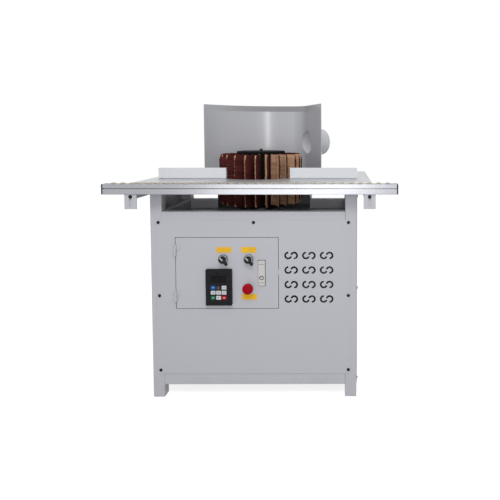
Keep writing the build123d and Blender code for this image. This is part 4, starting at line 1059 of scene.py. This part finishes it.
# Switchgear behind the door: contactors and a strip of terminals on a rail of hat section
gear_low, gear_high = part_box("switchgear")
gear_z = middle(gear_low.z, gear_high.z)
gear_margin = 0.018
gear_screw_height = 0.0035
gear_screws = Shape()
hat_front = gear_high.y - 0.007
hat_wall = 0.001
hat_half = 0.0175
hat_neck = 0.0125
hat_lip = hat_front + hat_wall
hat_side = hat_neck + hat_wall
hat_outline = with_mirror([(hat_front, hat_half), (hat_front, hat_neck), (gear_high.y - hat_wall, hat_neck)])
hat_outline += with_mirror([(hat_lip, -hat_half), (hat_lip, -hat_side), (gear_high.y, -hat_side)])
hat_rail = Shape()
hat_rail.prism([[(x, y, gear_z + z) for y, z in hat_outline] for x in (gear_low.x, gear_high.x)])
hat_rail.piece("mounting_rail", "bright_steel", "cabinet", "switchgear")
contactor_count = 2
contactor_width = 0.045
contactor_height = gear_high.z - gear_low.z
shoulder_front = gear_low.y + 0.026
waist_front = gear_low.y + 0.012
head_front = gear_low.y + 0.001
waist_height = contactor_height - 0.024
head_height = contactor_height - 0.042
head_width = contactor_width - 0.006
pole_pitch = 0.014
pole_rise = contactor_height / 2 - 0.006
pole_screw_radius = 0.0044
pole_wall_front = waist_front + 0.003
contactors = Shape()
contactor_tabs = Shape()
for index in range(contactor_count):
    x = gear_low.x + gear_margin + contactor_width / 2 + index * (contactor_width + gear_margin)
    for front, back, width, height in (
        (shoulder_front, hat_front, contactor_width, contactor_height),
        (waist_front, shoulder_front, contactor_width, waist_height),
        (head_front, waist_front, head_width, head_height),
    ):
        plate(contactors, x, front, gear_z, width, height, back - front, radius=0.002, edge=0.001)
    plate(
        contactor_tabs, x, gear_low.y, gear_z,
        width=0.012, height=0.006, thickness=0.0012, radius=0.001, edge=0.0003,
    )
    for side in (-1, 1):
        z = gear_z + side * pole_rise
        for wall in (-1.5, -0.5, 0.5, 1.5):
            plate(
                contactors, x + wall * pole_pitch, pole_wall_front, z,
                width=0.0014, height=0.0116, thickness=0.0112, radius=0.0004, edge=0.0002,
            )
        for pole in (-1, 0, 1):
            seat = facing_front(x + pole * pole_pitch, shoulder_front, z)
            socket_screw(gear_screws, seat, pole_screw_radius, gear_screw_height)
contactors.piece("contactor_blocks", "black_plastic", "cabinet", "switchgear")
contactor_tabs.piece("contactor_tabs", "key_white", "cabinet")
terminal_count = 9
terminal_pitch = 0.010
terminal_gap = 0.0003
terminal_front = hat_front - 0.038
terminal_shoulder = hat_front - 0.026
terminal_step = hat_front - 0.022
terminal_half = 0.021
terminal_waist = 0.011
terminal_nose = 0.008
terminal_screw_radius = 0.0032
terminal_screw_rise = 0.016
terminal_screw_seat = hat_front - 0.0225
terminal_outline = with_mirror([
    (hat_front, -terminal_half),
    (terminal_step, -terminal_half),
    (terminal_shoulder, -terminal_waist),
    (terminal_front, -terminal_nose),
])
terminals = Shape()
for index in range(terminal_count):
    right = gear_high.x - gear_margin - index * terminal_pitch
    terminals.prism([
        [(x, y, gear_z + z) for y, z in terminal_outline]
        for x in (right - terminal_pitch + terminal_gap, right - terminal_gap)
    ])
    for side in (-1, 1):
        screw_z = gear_z + side * terminal_screw_rise
        seat = facing_front(right - terminal_pitch / 2, terminal_screw_seat, screw_z)
        socket_screw(gear_screws, seat, terminal_screw_radius, gear_screw_height)
terminals.piece("terminal_strip", "black_plastic", "cabinet", "switchgear", look=terminal_look)
gear_screws.piece("gear_screws", "bright_steel", "cabinet")


def seen_directly(tree):
    """1 for what the camera sees, straight or in a mirror or a window, and 0 for light on the object."""
    path = tree.nodes.new("ShaderNodeLightPath")
    seen = path.outputs["Is Camera Ray"]
    for other in ("Is Glossy Ray", "Is Transmission Ray"):
        either = tree.nodes.new("ShaderNodeMath")
        either.operation = "MAXIMUM"
        tree.links.new(seen, either.inputs[0])
        tree.links.new(path.outputs[other], either.inputs[1])
        seen = either.outputs["Value"]
    return seen


# Grey floor with a glow where it is seen, so that it looks white but for the object's shadow
floor_glow = 0.79
floor_half = 12
floor_middle = 4
floor_graph = Graph("floor_look", 0.9, gloss=0.0)
floor_graph.finish((0.50, 0.50, 0.50, 1.0))
# Inside the footprint of the legs the glow fades out: painted shade under the machine, where the floor keeps
# only its own lit shade
foot_low, foot_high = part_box("frame_legs")
foot_margin = 0.05
foot_front = foot_low.y + 2 * foot_margin
foot_back = foot_high.y + foot_margin
footprint_shade = 1.0
for axis, start, end in (("X", foot_low.x, foot_high.x), ("Y", foot_front, foot_back)):
    place = floor_graph.along(axis)
    footprint_shade = floor_graph.times(footprint_shade, floor_graph.spread(place, 0.0, 1.0, start, start + foot_margin))
    footprint_shade = floor_graph.times(footprint_shade, floor_graph.spread(place, 1.0, 0.0, end - foot_margin, end))
glow = floor_graph.spread(footprint_shade, floor_glow, 0.0, start=0.0, end=1.0)
light = floor_graph.add("ShaderNodeEmission")
floor_graph.set(light.inputs["Strength"], floor_graph.times(seen_directly(floor_graph.tree), glow))
both = floor_graph.add("ShaderNodeAddShader")
floor_graph.set(both.inputs[0], floor_graph.shader.outputs["BSDF"])
floor_graph.set(both.inputs[1], light.outputs["Emission"])
floor_graph.set(floor_graph.tree.nodes["Material Output"].inputs["Surface"], both.outputs["Shader"])
floor_corners = [(x, floor_middle + y, 0) for x, y in rectangle_outline(floor_half, floor_half)]
floor_mesh = bpy.data.meshes.new("floor")
floor_mesh.from_pydata(floor_corners, [], [(0, 1, 2, 3)])
floor_mesh.materials.append(floor_graph.material)
floor = bpy.data.objects.new("floor", floor_mesh)
bpy.context.scene.collection.objects.link(floor)

# White surroundings, dimmer for the light that they give than where they are seen
sky_light = 0.46
sky_seen = 1.0
world = bpy.data.worlds.new("studio")
world.use_nodes = True
bpy.context.scene.world = world
sky = world.node_tree.nodes["Background"]
strength = world.node_tree.nodes.new("ShaderNodeMapRange")
strength.inputs["To Min"].default_value = sky_light
strength.inputs["To Max"].default_value = sky_seen
world.node_tree.links.new(seen_directly(world.node_tree), strength.inputs["Value"])
world.node_tree.links.new(strength.outputs["Result"], sky.inputs["Strength"])
sky.inputs["Color"].default_value = (1.0, 1.0, 1.0, 1.0)


def lamp(name, place, target, size, power):
    """A soft area lamp that points at a target."""
    data = bpy.data.lights.new(name, "AREA")
    data.shape = "RECTANGLE"
    data.size = size[0]
    data.size_y = size[1]
    data.energy = power
    made = bpy.data.objects.new(name, data)
    bpy.context.scene.collection.objects.link(made)
    made.location = place
    made.rotation_mode = "QUATERNION"
    made.rotation_quaternion = (Vector(target) - Vector(place)).to_track_quat("-Z", "Y")


lamp("key", place=(0.3, -2.6, 3.2), target=(0.0, -0.2, 0.6), size=(1.8, 1.2), power=48.0)
lamp("low_front", place=(-0.3, -3.6, 0.36), target=(0.0, -0.3, 0.8), size=(1.5, 0.6), power=6.6)
lamp("strip", place=(0.48, -3.6, 1.30), target=(0.0, 0.2, 1.0), size=(0.30, 1.0), power=20.0)
lamp("top", place=(0.3, -0.6, 3.4), target=(0.0, 0.1, 0.8), size=(2.4, 2.0), power=15.0)

# Camera of the photograph, with its angles in degrees
camera_x = 0.3406
camera_distance = 1.7392
camera_z = 1.0256
camera_tilt = 2.885
camera_roll = -0.043
camera_turn = -0.309
camera_data = bpy.data.cameras.new("camera")
camera_data.sensor_width = 36.0
camera_data.lens = 33.93
camera_data.shift_x = -0.1889
camera_data.shift_y = -0.1819
camera = bpy.data.objects.new("camera", camera_data)
bpy.context.scene.collection.objects.link(camera)
camera.location = (camera_x, cad_low.y - camera_distance, camera_z)
camera.rotation_euler = [math.radians(angle) for angle in (90 - camera_tilt, camera_roll, camera_turn)]
bpy.context.scene.camera = camera
bpy.context.scene.view_settings.view_transform = "Standard"
